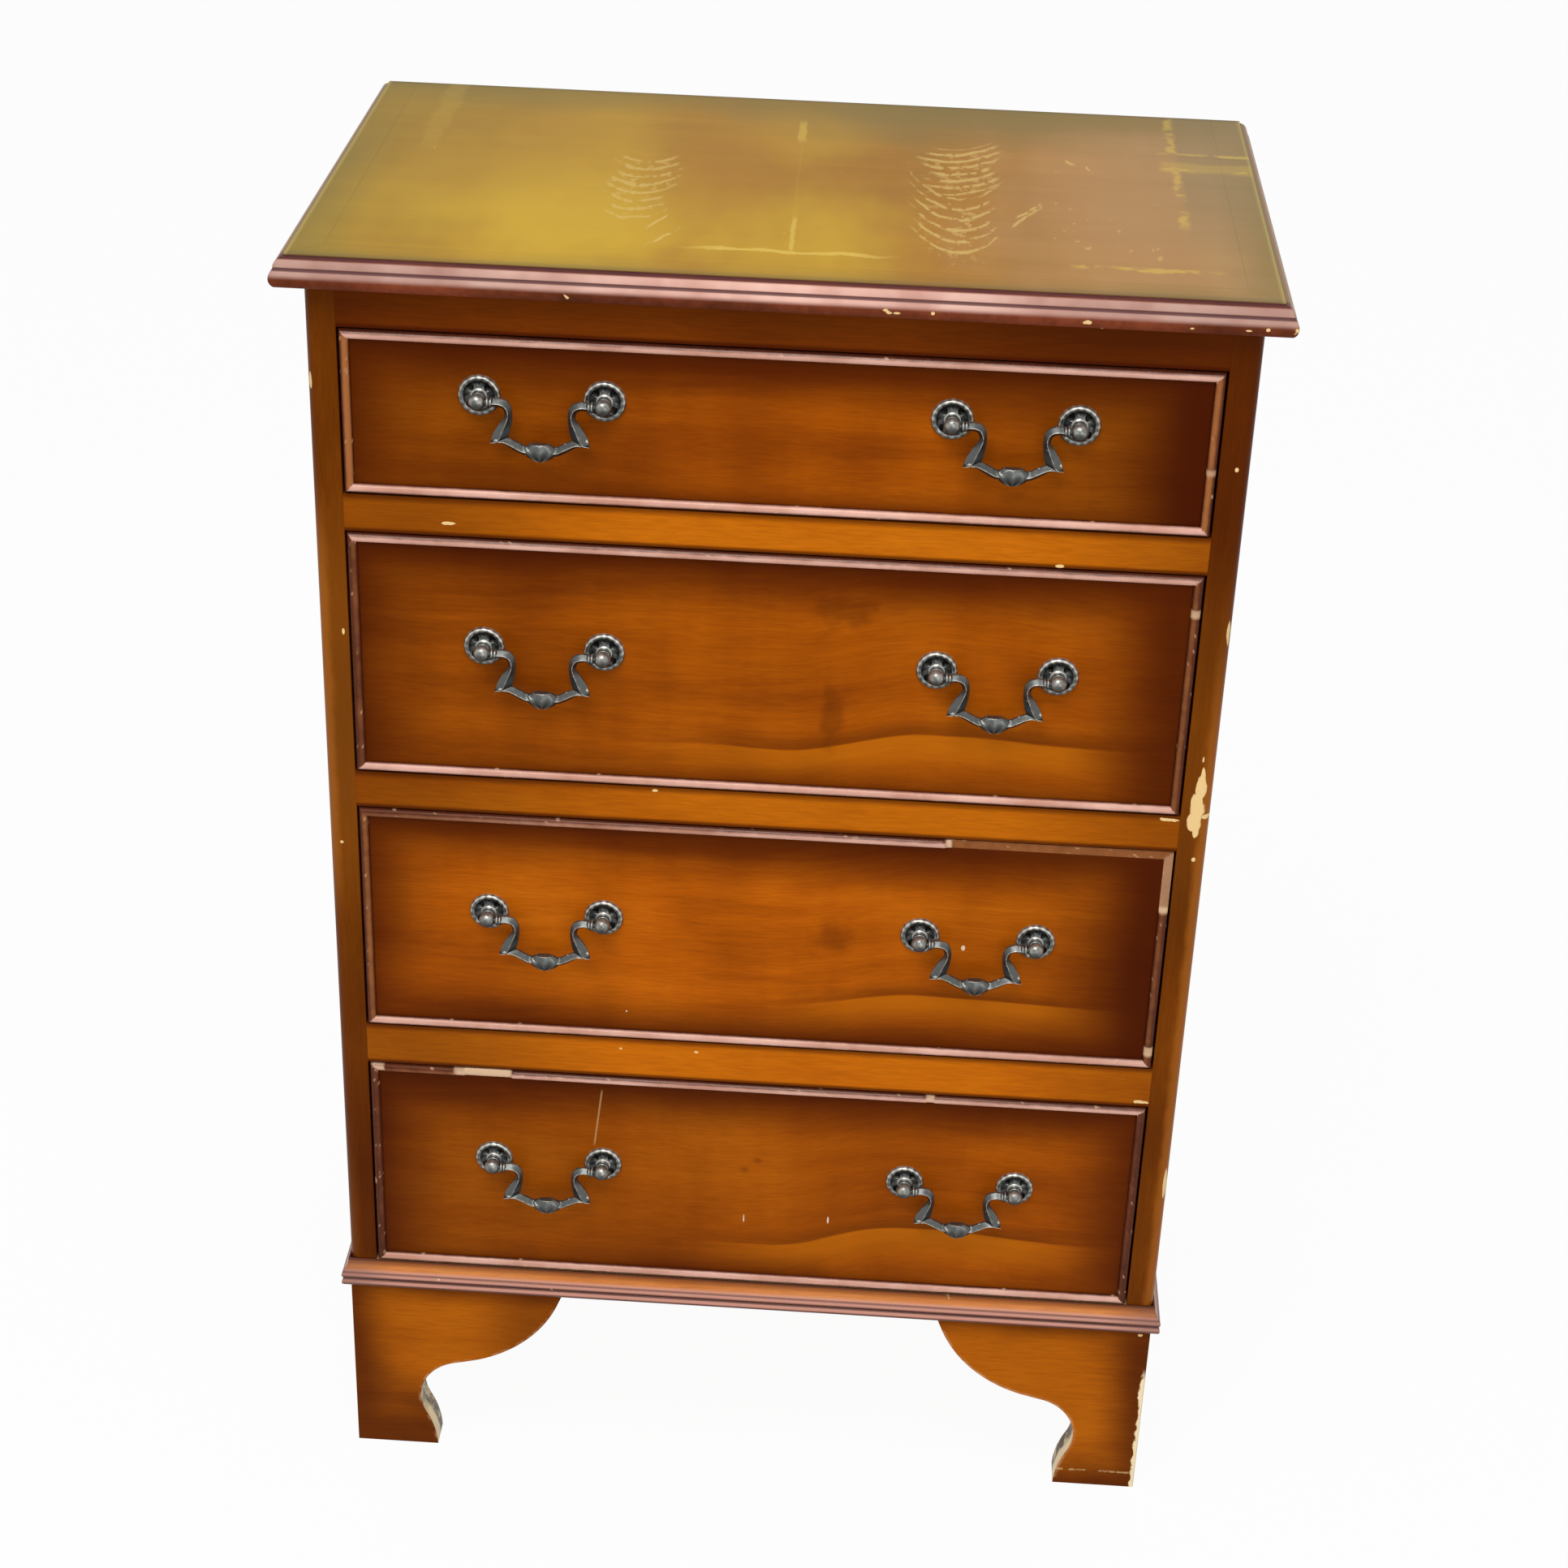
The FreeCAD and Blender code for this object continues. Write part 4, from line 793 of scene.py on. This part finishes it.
def antique_metal():
    """Dark antiqued metal, worn light on its ridges, darker in its hollows and nearly black in the piercings
    as painted shade, with painted shade where it faces down.
    """
    graph = new_material("antique_metal")
    grime = graph.noise(420.0, 4.0, 0.6)
    ridge = graph.node("ShaderNodeNewGeometry", output="Pointiness").jitter(grime, 0.06)
    # Painted shade where the metal faces down
    under = graph.axes(graph.node("ShaderNodeNewGeometry", output="Normal"))[2].rise(0.30, -0.40)
    colour = graph.mix(ridge.rise(0.42, 0.51), METAL_DARK, METAL_MID)
    colour = colour.paint(METAL_WORN, ridge.rise(0.506, 0.560) * 0.90).paint(METAL_DARK, under * 0.82)
    # Darker in the hollows, the piercings nearly black as painted shade
    colour = colour.paint(METAL_HOLLOW, graph.attribute("deep"))
    graph.set(Base_Color=colour, Metallic=0.8, Roughness=grime * 0.26 + 0.20)
    graph.surface(grime, 0.0002, 0.30, 0.0002)
    return graph.owner


def plain_steel():
    """Dull steel of the screw heads inside the drawers."""
    graph = new_material("screw_steel")
    grime = graph.noise(900.0)
    colour = graph.mix(grime.rise(0.4, 0.7), STEEL, STEEL_DULL)
    graph.set(Base_Color=colour, Metallic=0.9, Roughness=grime * 0.2 + 0.3)
    return graph.owner


# Meshes

SHARP_ANGLE = math.radians(40)
TO_METRES = Matrix.Scale(MM, 4)


def linked(name, data):
    """New object in the scene."""
    made = bpy.data.objects.new(name, data)
    bpy.context.scene.collection.objects.link(made)
    return made


def smoothed(mesh, material):
    """Mesh with one material and smooth faces."""
    mesh.materials.clear()
    mesh.materials.append(material)
    mesh.polygons.foreach_set("use_smooth", [True] * len(mesh.polygons))
    return mesh


def raw_mesh(bm, name):
    """Mesh from bmesh data, with its faces turned outwards."""
    bmesh.ops.recalc_face_normals(bm, faces=bm.faces)
    mesh = bpy.data.meshes.new(name)
    bm.to_mesh(mesh)
    bm.free()
    return mesh


def finished_mesh(bm, name, material):
    """Mesh from bmesh data with smooth faces and sharp edges."""
    mesh = smoothed(raw_mesh(bm, name), material)
    mesh.set_sharp_from_angle(angle=SHARP_ANGLE)
    return mesh


def piece(name, mesh, body, replaced=None, place=None):
    """Object that rides on a body and may stand for a CAD piece."""
    made = linked(name, mesh)
    if place is not None:
        made.matrix_world = place
    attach(made, body)
    if replaced:
        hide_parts(replaced)


def smooth_line(points, steps):
    """Points along a smooth curve through the given ones."""
    ends = [points[0] * 2 - points[1], *points, points[-1] * 2 - points[-2]]
    line = []
    for a, b, c, d in zip(ends, ends[1:], ends[2:], ends[3:]):
        for step in range(steps):
            t = step / steps
            line.append(((b * 2) + (c - a) * t + (a * 2 - b * 5 + c * 4 - d) * t ** 2
                         + (b * 3 - a - c * 3 + d) * t ** 3) / 2)
    return line + [points[-1]]


def skin(bm, rings):
    """Faces between rings of vertices, with the first and last ring filled."""
    for one, two in zip(rings, rings[1:]):
        count = len(one)
        for index in range(count):
            after = (index + 1) % count
            bm.faces.new((one[index], one[after], two[after], two[index]))
    bm.faces.new(rings[0][::-1])
    bm.faces.new(rings[-1])


def turned(bm, profile, segments, place):
    """Turned solid through (radius, height) points about Z, put in place by a matrix."""
    rings = []
    for radius, height in profile:
        ring = []
        for step in range(segments):
            angle = math.tau * step / segments
            corner = Vector((radius * math.cos(angle), radius * math.sin(angle), height))
            ring.append(bm.verts.new(place @ corner))
        rings.append(ring)
    skin(bm, rings)


# Handles, in millimetres apart from the spread of the posts, which is in metres

POST_SPREAD = 0.032
ROSETTE_RADIUS = 11.0
ROSETTE_RINGS = (0.6, 2.0, 3.2, 3.9, 4.4, 4.9, 5.4, 5.9, 6.4, 6.9, 7.4, 7.9, 8.4, 8.9, 9.4, 9.9, 10.4, 10.8,
                 ROSETTE_RADIUS)
ROSETTE_SEGMENTS = 80
BEADS_ON_RIM = 16
# Hollows of the rosette, four piercings and four dimples: turn, distance from the middle, radius and depth
HOLLOWS = (*[(math.radians(45 + 90 * count), 6.3, 1.7, 1.3) for count in range(4)],
           *[(math.radians(90 * count), 6.5, 1.0, 0.40) for count in range(4)])
FORWARDS = Matrix.Rotation(math.radians(90), 4, "X")


def rosette_height(radius, angle):
    """Front of the rosette over its back, and how deep in a hollow it is."""
    height = 1.25 + 1.4 * math.exp(-(radius / 4.0) ** 4)
    beads = 0.93 + 0.07 * math.cos(BEADS_ON_RIM * angle)
    height += 1.25 * beads * math.exp(-((radius - 9.3) / 1.5) ** 4)
    height -= 0.9 * max(0.0, (radius - 10.2) / 0.8) ** 2
    # How dark the metal is painted: darker in the dish and dimples, nearly black in the piercings as painted
    # shade
    deep = 0.30 * math.exp(-((radius - 6.2) / 1.7) ** 4)
    for facing, place, reach, depth in HOLLOWS:
        away = math.hypot(radius * math.cos(angle) - place * math.cos(facing),
                          radius * math.sin(angle) - place * math.sin(facing))
        inside = min(1.0, max(0.0, (reach + 0.3 - away) / 0.6))
        height -= depth * inside
        deep = max(deep, inside if depth > 1 else 0.6 * inside)
    return max(height, 0.08), deep


def add_rosette(bm, deep, place):
    """Front of a rosette ring by ring, closed by a flat ring behind."""
    rings = []
    for radius in (*ROSETTE_RINGS, None):
        ring = []
        for step in range(ROSETTE_SEGMENTS):
            angle = math.tau * step / ROSETTE_SEGMENTS
            reach = radius or ROSETTE_RADIUS
            notch = 0.018 * (1 - math.cos(BEADS_ON_RIM * angle)) / 2
            out = reach * (1 - notch * (reach / ROSETTE_RADIUS) ** 6)
            height, hollow = rosette_height(radius, angle) if radius else (0.0, 0.0)
            vertex = bm.verts.new(place @ Vector((out * math.cos(angle), out * math.sin(angle), height)))
            vertex[deep] = hollow
            ring.append(vertex)
        rings.append(ring)
    skin(bm, rings)


POST_FOOT = ((4.3, 1.2), (4.3, 2.6), (3.6, 3.2), (3.1, 3.8), (2.7, 4.6), (2.6, 5.2), (3.0, 5.6), (3.4, 5.9),
             (3.1, 6.3))
POMMEL_RADIUS = 4.4
POMMEL_REACH = 10.0
POST_SEGMENTS = 40


def post_profile():
    """Foot, neck with a ring, and a ball with a small button in front."""
    ball = []
    for step in range(1, 12):
        angle = math.radians(-55 + step * 12.2)
        ball.append((POMMEL_RADIUS * math.cos(angle), POMMEL_REACH + POMMEL_RADIUS * math.sin(angle) * 0.92))
    return [*POST_FOOT, *ball, (0.5, POMMEL_REACH + 4.02)]


# Swan-neck bail: pairs of edge points, from the pommel to the ear and from the ear to the middle of the bar
LEG = (((27.0, 2.3), (27.0, -2.3)), ((23.5, 2.3), (23.5, -2.3)), ((20.5, 2.3), (21.2, -2.3)),
       ((16.9, 1.1), (19.0, -3.2)), ((14.7, -1.9), (18.1, -5.2)), ((14.1, -5.6), (18.1, -7.2)),
       ((14.2, -9.0), (19.4, -9.4)), ((14.8, -13.0), (21.6, -12.6)), ((15.6, -16.6), (23.6, -16.2)),
       ((17.2, -19.4), (24.6, -19.0)), ((20.5, -20.8), (25.3, -21.2)))
BAR = (((25.4, -20.8), (25.2, -21.5)), ((22.0, -19.2), (22.0, -22.0)), ((18.5, -18.6), (18.4, -22.5)),
       ((15.0, -19.4), (15.2, -24.4)), ((11.0, -21.4), (11.4, -26.6)), ((7.5, -22.9), (7.6, -27.9)),
       ((0.0, -23.1), (0.0, -28.2)))
RIDGE = 2.5
SHOULDER = -0.4
BAIL_BACK = 1.9
LEAF_HALF = 8.4
LEAF_TOP = -21.1
LEAF_FOOT = -30.5
LEAF_FRONT = 3.6
LEAF_RIM = 1.0
LEAF_ROWS = 16
LEAF_COLUMNS = 14
# Collars beside the pommels, and the pins in them, as radius and distance from the middle
COLLARS = ((1.5, 23.8), (2.2, 24.2), (2.7, 24.7), (2.6, 25.2), (2.1, 25.6), (2.7, 25.9), (3.1, 26.5),
           (2.7, 27.1), (1.5, 27.3))
PIN = ((1.35, 25.0), (1.35, 30.3))
BAIL_VOXEL = 0.22
BAIL_SHARE_OF_FACES = 0.30


def band(bm, pairs, sign):
    """Bar between pairs of edge points, with a ridge along its front and a flat back."""
    sides = []
    for side in (0, 1):
        sides.append(smooth_line([Vector((sign * pair[side][0], 0, pair[side][1])) for pair in pairs], 5))
    rings = []
    for one, two in zip(*sides):
        middle = (one + two) / 2
        depths = ((one, -SHOULDER), (middle, -RIDGE), (two, -SHOULDER), (two, BAIL_BACK), (one, BAIL_BACK))
        rings.append([bm.verts.new(corner + Vector((0, depth, 0))) for corner, depth in depths])
    skin(bm, rings)


def leaf(bm):
    """Shell on the middle of the bar, with ribs that fan down from its top."""
    rings = []
    for row in range(LEAF_ROWS + 1):
        level = row / LEAF_ROWS
        height = LEAF_TOP + (LEAF_FOOT - LEAF_TOP) * level
        half = max(0.5, LEAF_HALF * math.sin(math.pi * min(1.0, level * 0.86 + 0.12)) ** 0.6)
        swell = LEAF_FRONT * math.sin(math.pi * min(1.0, level * 0.80 + 0.14)) ** 0.5
        front = []
        back = []
        for column in range(2 * LEAF_COLUMNS + 1):
            across = column / LEAF_COLUMNS - 1
            dome = math.sqrt(max(0.0, 1 - across ** 2))
            rib = 0.75 * math.cos(across * math.pi * 3) * level
            front.append((half * across, -max(LEAF_RIM, (swell + rib) * dome)))
            back.append((half * across, LEAF_RIM + 0.8 * dome))
        rings.append([bm.verts.new((x, y, height)) for x, y in front + back[::-1]])
    skin(bm, rings)


def bail_mesh(material):
    """Bail cast in one piece: bands, leaf, collars and pins merged into one skin."""
    bm = bmesh.new()
    for sign in SIDES.values():
        band(bm, LEG, sign)
        band(bm, BAR, sign)
        across = Matrix.Rotation(math.radians(90 * sign), 4, "Y")
        turned(bm, COLLARS, 28, across)
        turned(bm, PIN, 20, across)
    leaf(bm)
    blank = linked("bail_pieces", raw_mesh(bm, "bail_pieces"))
    union = blank.modifiers.new("union", "REMESH")
    union.mode = "VOXEL"
    union.voxel_size = BAIL_VOXEL
    soften = blank.modifiers.new("soften", "SMOOTH")
    soften.factor = 0.5
    soften.iterations = 2
    lighter = blank.modifiers.new("lighter", "DECIMATE")
    lighter.ratio = BAIL_SHARE_OF_FACES
    bpy.context.view_layer.update()
    mesh = bpy.data.meshes.new_from_object(blank.evaluated_get(bpy.context.evaluated_depsgraph_get()))
    bpy.data.objects.remove(blank)
    mesh.transform(TO_METRES)
    return smoothed(mesh, material)


def pivot_of(drawer, side):
    """Place of a bail's hinge at rest."""
    name = f"drawer_{drawer}_bail_{side}_hinge"
    return Vector(next(joint["pos_m"] for joint in frame["joints"] if joint["name"] == name))


SCREW_HEAD = ((5.5, 0.0), (5.5, 0.9), (3.9, 1.0), (3.9, 2.2), (3.3, 2.9), (2.0, 3.3), (0.5, 3.4))
SCREW_SEGMENTS = 28


def make_handles(metal, steel):
    """Rosettes, posts, screws and bails of every drawer."""
    bail = bail_mesh(metal)
    for drawer in DRAWERS:
        body = f"drawer_{drawer}"
        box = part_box(f"drawer_{drawer}_front")
        rosettes = bmesh.new()
        deep = rosettes.verts.layers.float.new("deep")
        posts = bmesh.new()
        screws = bmesh.new()
        for side in SIDES:
            pivot = pivot_of(drawer, side)
            for end in SIDES.values():
                across = pivot.x + end * POST_SPREAD
                place = Matrix.Translation((across, box[0].y, pivot.z)) @ FORWARDS @ TO_METRES
                add_rosette(rosettes, deep, place)
                turned(posts, post_profile(), POST_SEGMENTS, place)
                inside = Matrix.Translation((across, box[1].y, pivot.z)) @ FORWARDS.inverted() @ TO_METRES
                turned(screws, SCREW_HEAD, SCREW_SEGMENTS, inside)
            node = f"drawer_{drawer}_bail_{side}"
            place = Matrix.Translation(pivot)
            piece(f"bail_{drawer}_{side}", bail.copy(), node, node, place)
        for name, bm, material, replaced in (
                (f"rosettes_{drawer}", rosettes, metal, f"drawer_{drawer}_rosettes"),
                (f"posts_{drawer}", posts, metal, f"drawer_{drawer}_handle_posts"),
                (f"handle_screws_{drawer}", screws, steel, None)):
            piece(name, finished_mesh(bm, name, material), body, replaced)


# Cock beads, with the breaks and chips that the photograph shows

BEAD_WIDTH = 5.0 * MM
BEAD_SET = 7.0 * MM
BEAD_PROUD = 0.6 * MM
BEAD_STEP = 1.5 * MM
BEAD_JOG = 0.08 * MM
NOSE_POINTS = 11
# Breaks: drawer, side, start and end along X or Z, and the height and paleness left there
BEAD_BREAKS = ((3, "upper", 0.101, 0.230, 0.0, 0.0), (3, "right", 0.4165, 0.460, 0.0, 0.30),
               (4, "upper", -0.174, -0.168, 0.85, 0.60), (4, "upper", -0.168, -0.141, 0.45, 0.95),
               (3, "upper", 0.0985, 0.1015, 0.4, 0.9), (3, "right", 0.4135, 0.4170, 0.3, 0.9),
               (2, "right", 0.594, 0.599, 0.7, 0.7), (4, "upper", 0.098, 0.102, 0.7, 0.6),
               (4, "upper", -0.222, -0.214, 0.7, 0.5), (3, "right", 0.320, 0.326, 0.6, 0.8),
               (1, "right", 0.674, 0.678, 0.7, 0.5))
# A bead with no more than this share of its nose counts as missing
MISSING = 0.1
SPECK_LEVEL = 0.60
# Share of the crown's painted highlight that shows on the upright beads
UPRIGHT_CROWNS = {"left": {1: 1.0, 2: 0.60, 3: 0.72, 4: 0.52}, "right": {1: 0.85, 2: 0.66, 3: 0.62, 4: 0.52}}
# Stretches of the level beads that show brown, with less of the painted highlight: drawer, side, start, end
# and the pink left at both
BROWN_STRETCHES = ((3, "upper", -0.23, 0.02, 0.0, 1.0), (4, "upper", -0.214, -0.172, 0.0, 0.1))
BROWN_CROWN = 0.62
MISSING_CROWN = 0.72
# Turn from the middle of the nose to the middle of its crown, where the highlight is painted, towards the
# drawer
CROWN_TURN = math.radians(22)


def bead_state(drawer, edge, along):
    """Share of the nose that is left and how pale it is at a place along a bead."""
    left, pale = 1.0, 0.0
    for at_drawer, at_edge, start, end, height, paleness in BEAD_BREAKS:
        if (at_drawer, at_edge) == (drawer, edge) and start <= along <= end:
            left, pale = height, paleness
    return left, pale


def crown_state(drawer, edge, along):
    """How much of the crown's painted highlight shows and how pink it is."""
    if edge in UPRIGHT_CROWNS:
        return UPRIGHT_CROWNS[edge][drawer], 0.0
    pink = 1.0
    for at_drawer, at_edge, start, end, first, last in BROWN_STRETCHES:
        if (at_drawer, at_edge) == (drawer, edge) and start <= along <= end:
            pink = first + (last - first) * (along - start) / (end - start)
    return BROWN_CROWN + (1 - BROWN_CROWN) * pink, pink


def speck(drawer, edge, along, inset):
    """Paleness of small rubbed spots on a bead."""
    level = noise.noise(Vector((along * 420, inset * 900, drawer * 7.3 + len(edge) * 3.1)))
    return min(0.7, max(0.0, level - SPECK_LEVEL) * 6)


def bead_section(left):
    """Outline of a bead from its outer back corner over the nose to its inner back corner.

    Each point is an inset, a depth and how near it is to the crown of the nose, where the highlight is
    painted.
    """
    radius = BEAD_WIDTH / 2
    outline = [(0.0, -BEAD_SET, 0.0)]
    for step in range(NOSE_POINTS):
        angle = math.pi * step / (NOSE_POINTS - 1)
        depth = (BEAD_PROUD + radius * math.sin(angle)) * left
        nearness = max(0.0, math.cos(angle - math.pi / 2 - CROWN_TURN))
        outline.append((radius - radius * math.cos(angle), depth, nearness))
    return outline + [(BEAD_WIDTH, -BEAD_SET, 0.0)]


def add_bead(bm, drawer, edge, low, high):
    """One mitred bead along an edge of a drawer front."""
    layers = bm.verts.layers.float
    flat = edge in ("upper", "lower")
    start, end = (low.x, high.x) if flat else (low.z, high.z)
    fixed = {"lower": low.z, "upper": high.z, "left": low.x, "right": high.x}[edge]
    inward = 1 if edge in ("lower", "left") else -1
    count = round((end - start) / BEAD_STEP)
    rings = []
    for step in range(count + 1):
        along = start + (end - start) * step / count
        left, pale = bead_state(drawer, edge, along)
        shown, pink = crown_state(drawer, edge, along)
        missing = left <= MISSING
        jog = BEAD_JOG * noise.noise(Vector((along * 190, drawer, fixed * 90)))
        ring = []
        for inset, depth, nearness in bead_section(left):
            here = min(max(along, start + inset), end - inset)
            level = fixed + inward * inset
            out = low.y - depth - (jog if depth > 0 else 0)
            vertex = bm.verts.new((here, out, level) if flat else (level, out, here))
            # Paleness of breaks and rubbed specks
            rubbing_and_highlight = max(pale, speck(drawer, edge, along, inset))
            vertex[layers["wear"]] = rubbing_and_highlight if depth > 0 or missing else 0.0
            # Where the painted highlight lies on the nose
            vertex[layers["crown"]] = MISSING_CROWN if missing else nearness * shown
            vertex[layers["level"]] = 0.0 if missing else pink
            ring.append(vertex)
        rings.append(ring)
    skin(bm, rings)


def make_beads(material):
    """Four mitred beads round every drawer front."""
    for drawer in DRAWERS:
        low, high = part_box(f"drawer_{drawer}_front")
        bm = bmesh.new()
        for name in ("wear", "crown", "level"):
            bm.verts.layers.float.new(name)
        for edge in ("lower", "right", "upper", "left"):
            add_bead(bm, drawer, edge, low, high)
        bmesh.ops.remove_doubles(bm, verts=bm.verts, dist=0.02 * MM)
        mesh = finished_mesh(bm, f"cock_beads_{drawer}", material)
        piece(mesh.name, mesh, f"drawer_{drawer}", f"drawer_{drawer}_cock_beads")


# Finishes of the carried-over pieces

def dress(names, material):
    """Give CAD pieces a material."""
    for name in names:
        mesh = nodes[name].data
        mesh.materials.clear()
        mesh.materials.append(material)


def each_drawer(part):
    """Names of one part of every drawer."""
    return [f"drawer_{drawer}_{part}" for drawer in DRAWERS]


def dress_carcass():
    """Finishes of everything that keeps its CAD mesh."""
    dress(["top_panel", *[f"top_moulding_{side}" for side in ("front", *SIDES)]], top_finish())
    dress(["side_panel_left", "side_panel_right"], side_veneer())
    # The top rail gets darker tones as painted shadow of the top's overhang
    dress(["top_rail_front"], rail_veneer("top_rail_front", TOP_RAIL_SHADOW_TONES, -0.05, 1.1))
    for place, level in RAIL_LEVELS.items():
        dress([f"drawer_rail_{place}"], rail_veneer(f"drawer_rail_{place}", RAIL_TONES, 0.03, level))
    dress([f"plinth_moulding_{side}" for side in ("front", *SIDES)], plinth_finish())
    dress([f"foot_{end}_{side}" for end in ("front", "rear") for side in SIDES], foot_veneer())
    dress(["back_panel"], board("back_board", True))
    dress(each_drawer("bottom"), board("drawer_board", False))
    along_y = plain_wood("inner_wood_lengthwise", ALONG_Y)
    along_x = plain_wood("inner_wood_crosswise", ALONG_X)
    dress(["drawer_runners", "foot_glue_blocks", *each_drawer("sides")], along_y)
    dress(["bottom_panel", "top_rail_rear", "drawer_stops", *each_drawer("back")], along_x)
    for drawer in DRAWERS:
        dress([f"drawer_{drawer}_front"], drawer_veneer(drawer))


# Stage, light and camera

def show_white(graph, output, share, light, white):
    """Blend of two shaders that shows the white one to rays from the camera, or by way of gloss or glass."""
    kinds = ("Is Camera Ray", "Is Glossy Ray", "Is Transmission Ray")
    seen = largest([graph.node("ShaderNodeLightPath", output=kind) for kind in kinds])
    blend = graph.node("ShaderNodeMixShader", {0: seen * share, 1: light, 2: white})
    graph.feed(graph.tree.nodes[output].inputs["Surface"], blend)


def make_stage():
    """Pale floor that keeps the shadow, under a white surround."""
    graph = new_material("floor")
    graph.tree.nodes.remove(graph.tree.nodes["Principled BSDF"])
    matte = graph.node("ShaderNodeBsdfDiffuse", {"Color": FLOOR_GREY})
    white = graph.node("ShaderNodeEmission", {"Color": WHITE, "Strength": 1.0})
    show_white(graph, "Material Output", FLOOR_WHITE_SHARE, matte, white)
    mesh = bpy.data.meshes.new("floor")
    corners = [(FLOOR_HALF * x, FLOOR_HALF * y, 0) for x, y in ((-1, -1), (1, -1), (1, 1), (-1, 1))]
    mesh.from_pydata(corners, [], [(0, 1, 2, 3)])
    mesh.materials.append(graph.owner)
    linked("floor", mesh)


def make_world():
    """White surround that lights the chest more softly than it shows."""
    graph = Graph(bpy.data.worlds.new("studio"))
    bpy.context.scene.world = graph.owner
    graph.tree.nodes.remove(graph.tree.nodes["Background"])
    light = graph.node("ShaderNodeBackground", {"Color": WHITE, "Strength": SKY_LIGHT})
    white = graph.node("ShaderNodeBackground", {"Color": WHITE})
    show_white(graph, "World Output", 1.0, light, white)


def add_lamp(name, place, aim, size, power):
    """Soft square lamp pointed at a place."""
    lamp = bpy.data.lights.new(name, "AREA")
    lamp.size = size
    lamp.energy = power
    made = linked(name, lamp)
    made.location = place
    made.rotation_euler = (Vector(aim) - Vector(place)).to_track_quat("-Z", "Y").to_euler()


def make_camera():
    """Camera of the photograph."""
    data = bpy.data.cameras.new("camera")
    data.lens = CAMERA_LENS
    data.sensor_width = CAMERA_SENSOR
    camera = linked("camera", data)
    right = CAMERA_FORWARD.cross(CAMERA_UP)
    turn = Matrix((right, CAMERA_UP, -CAMERA_FORWARD)).transposed()
    camera.matrix_world = Matrix.Translation(CAMERA_PLACE) @ turn.to_4x4()
    bpy.context.scene.camera = camera


dress_carcass()
make_beads(bead_finish())
make_handles(antique_metal(), plain_steel())
make_stage()
make_world()
for name, settings in LAMPS.items():
    add_lamp(name, *settings)
make_camera()
bpy.context.scene.view_settings.view_transform = "Standard"
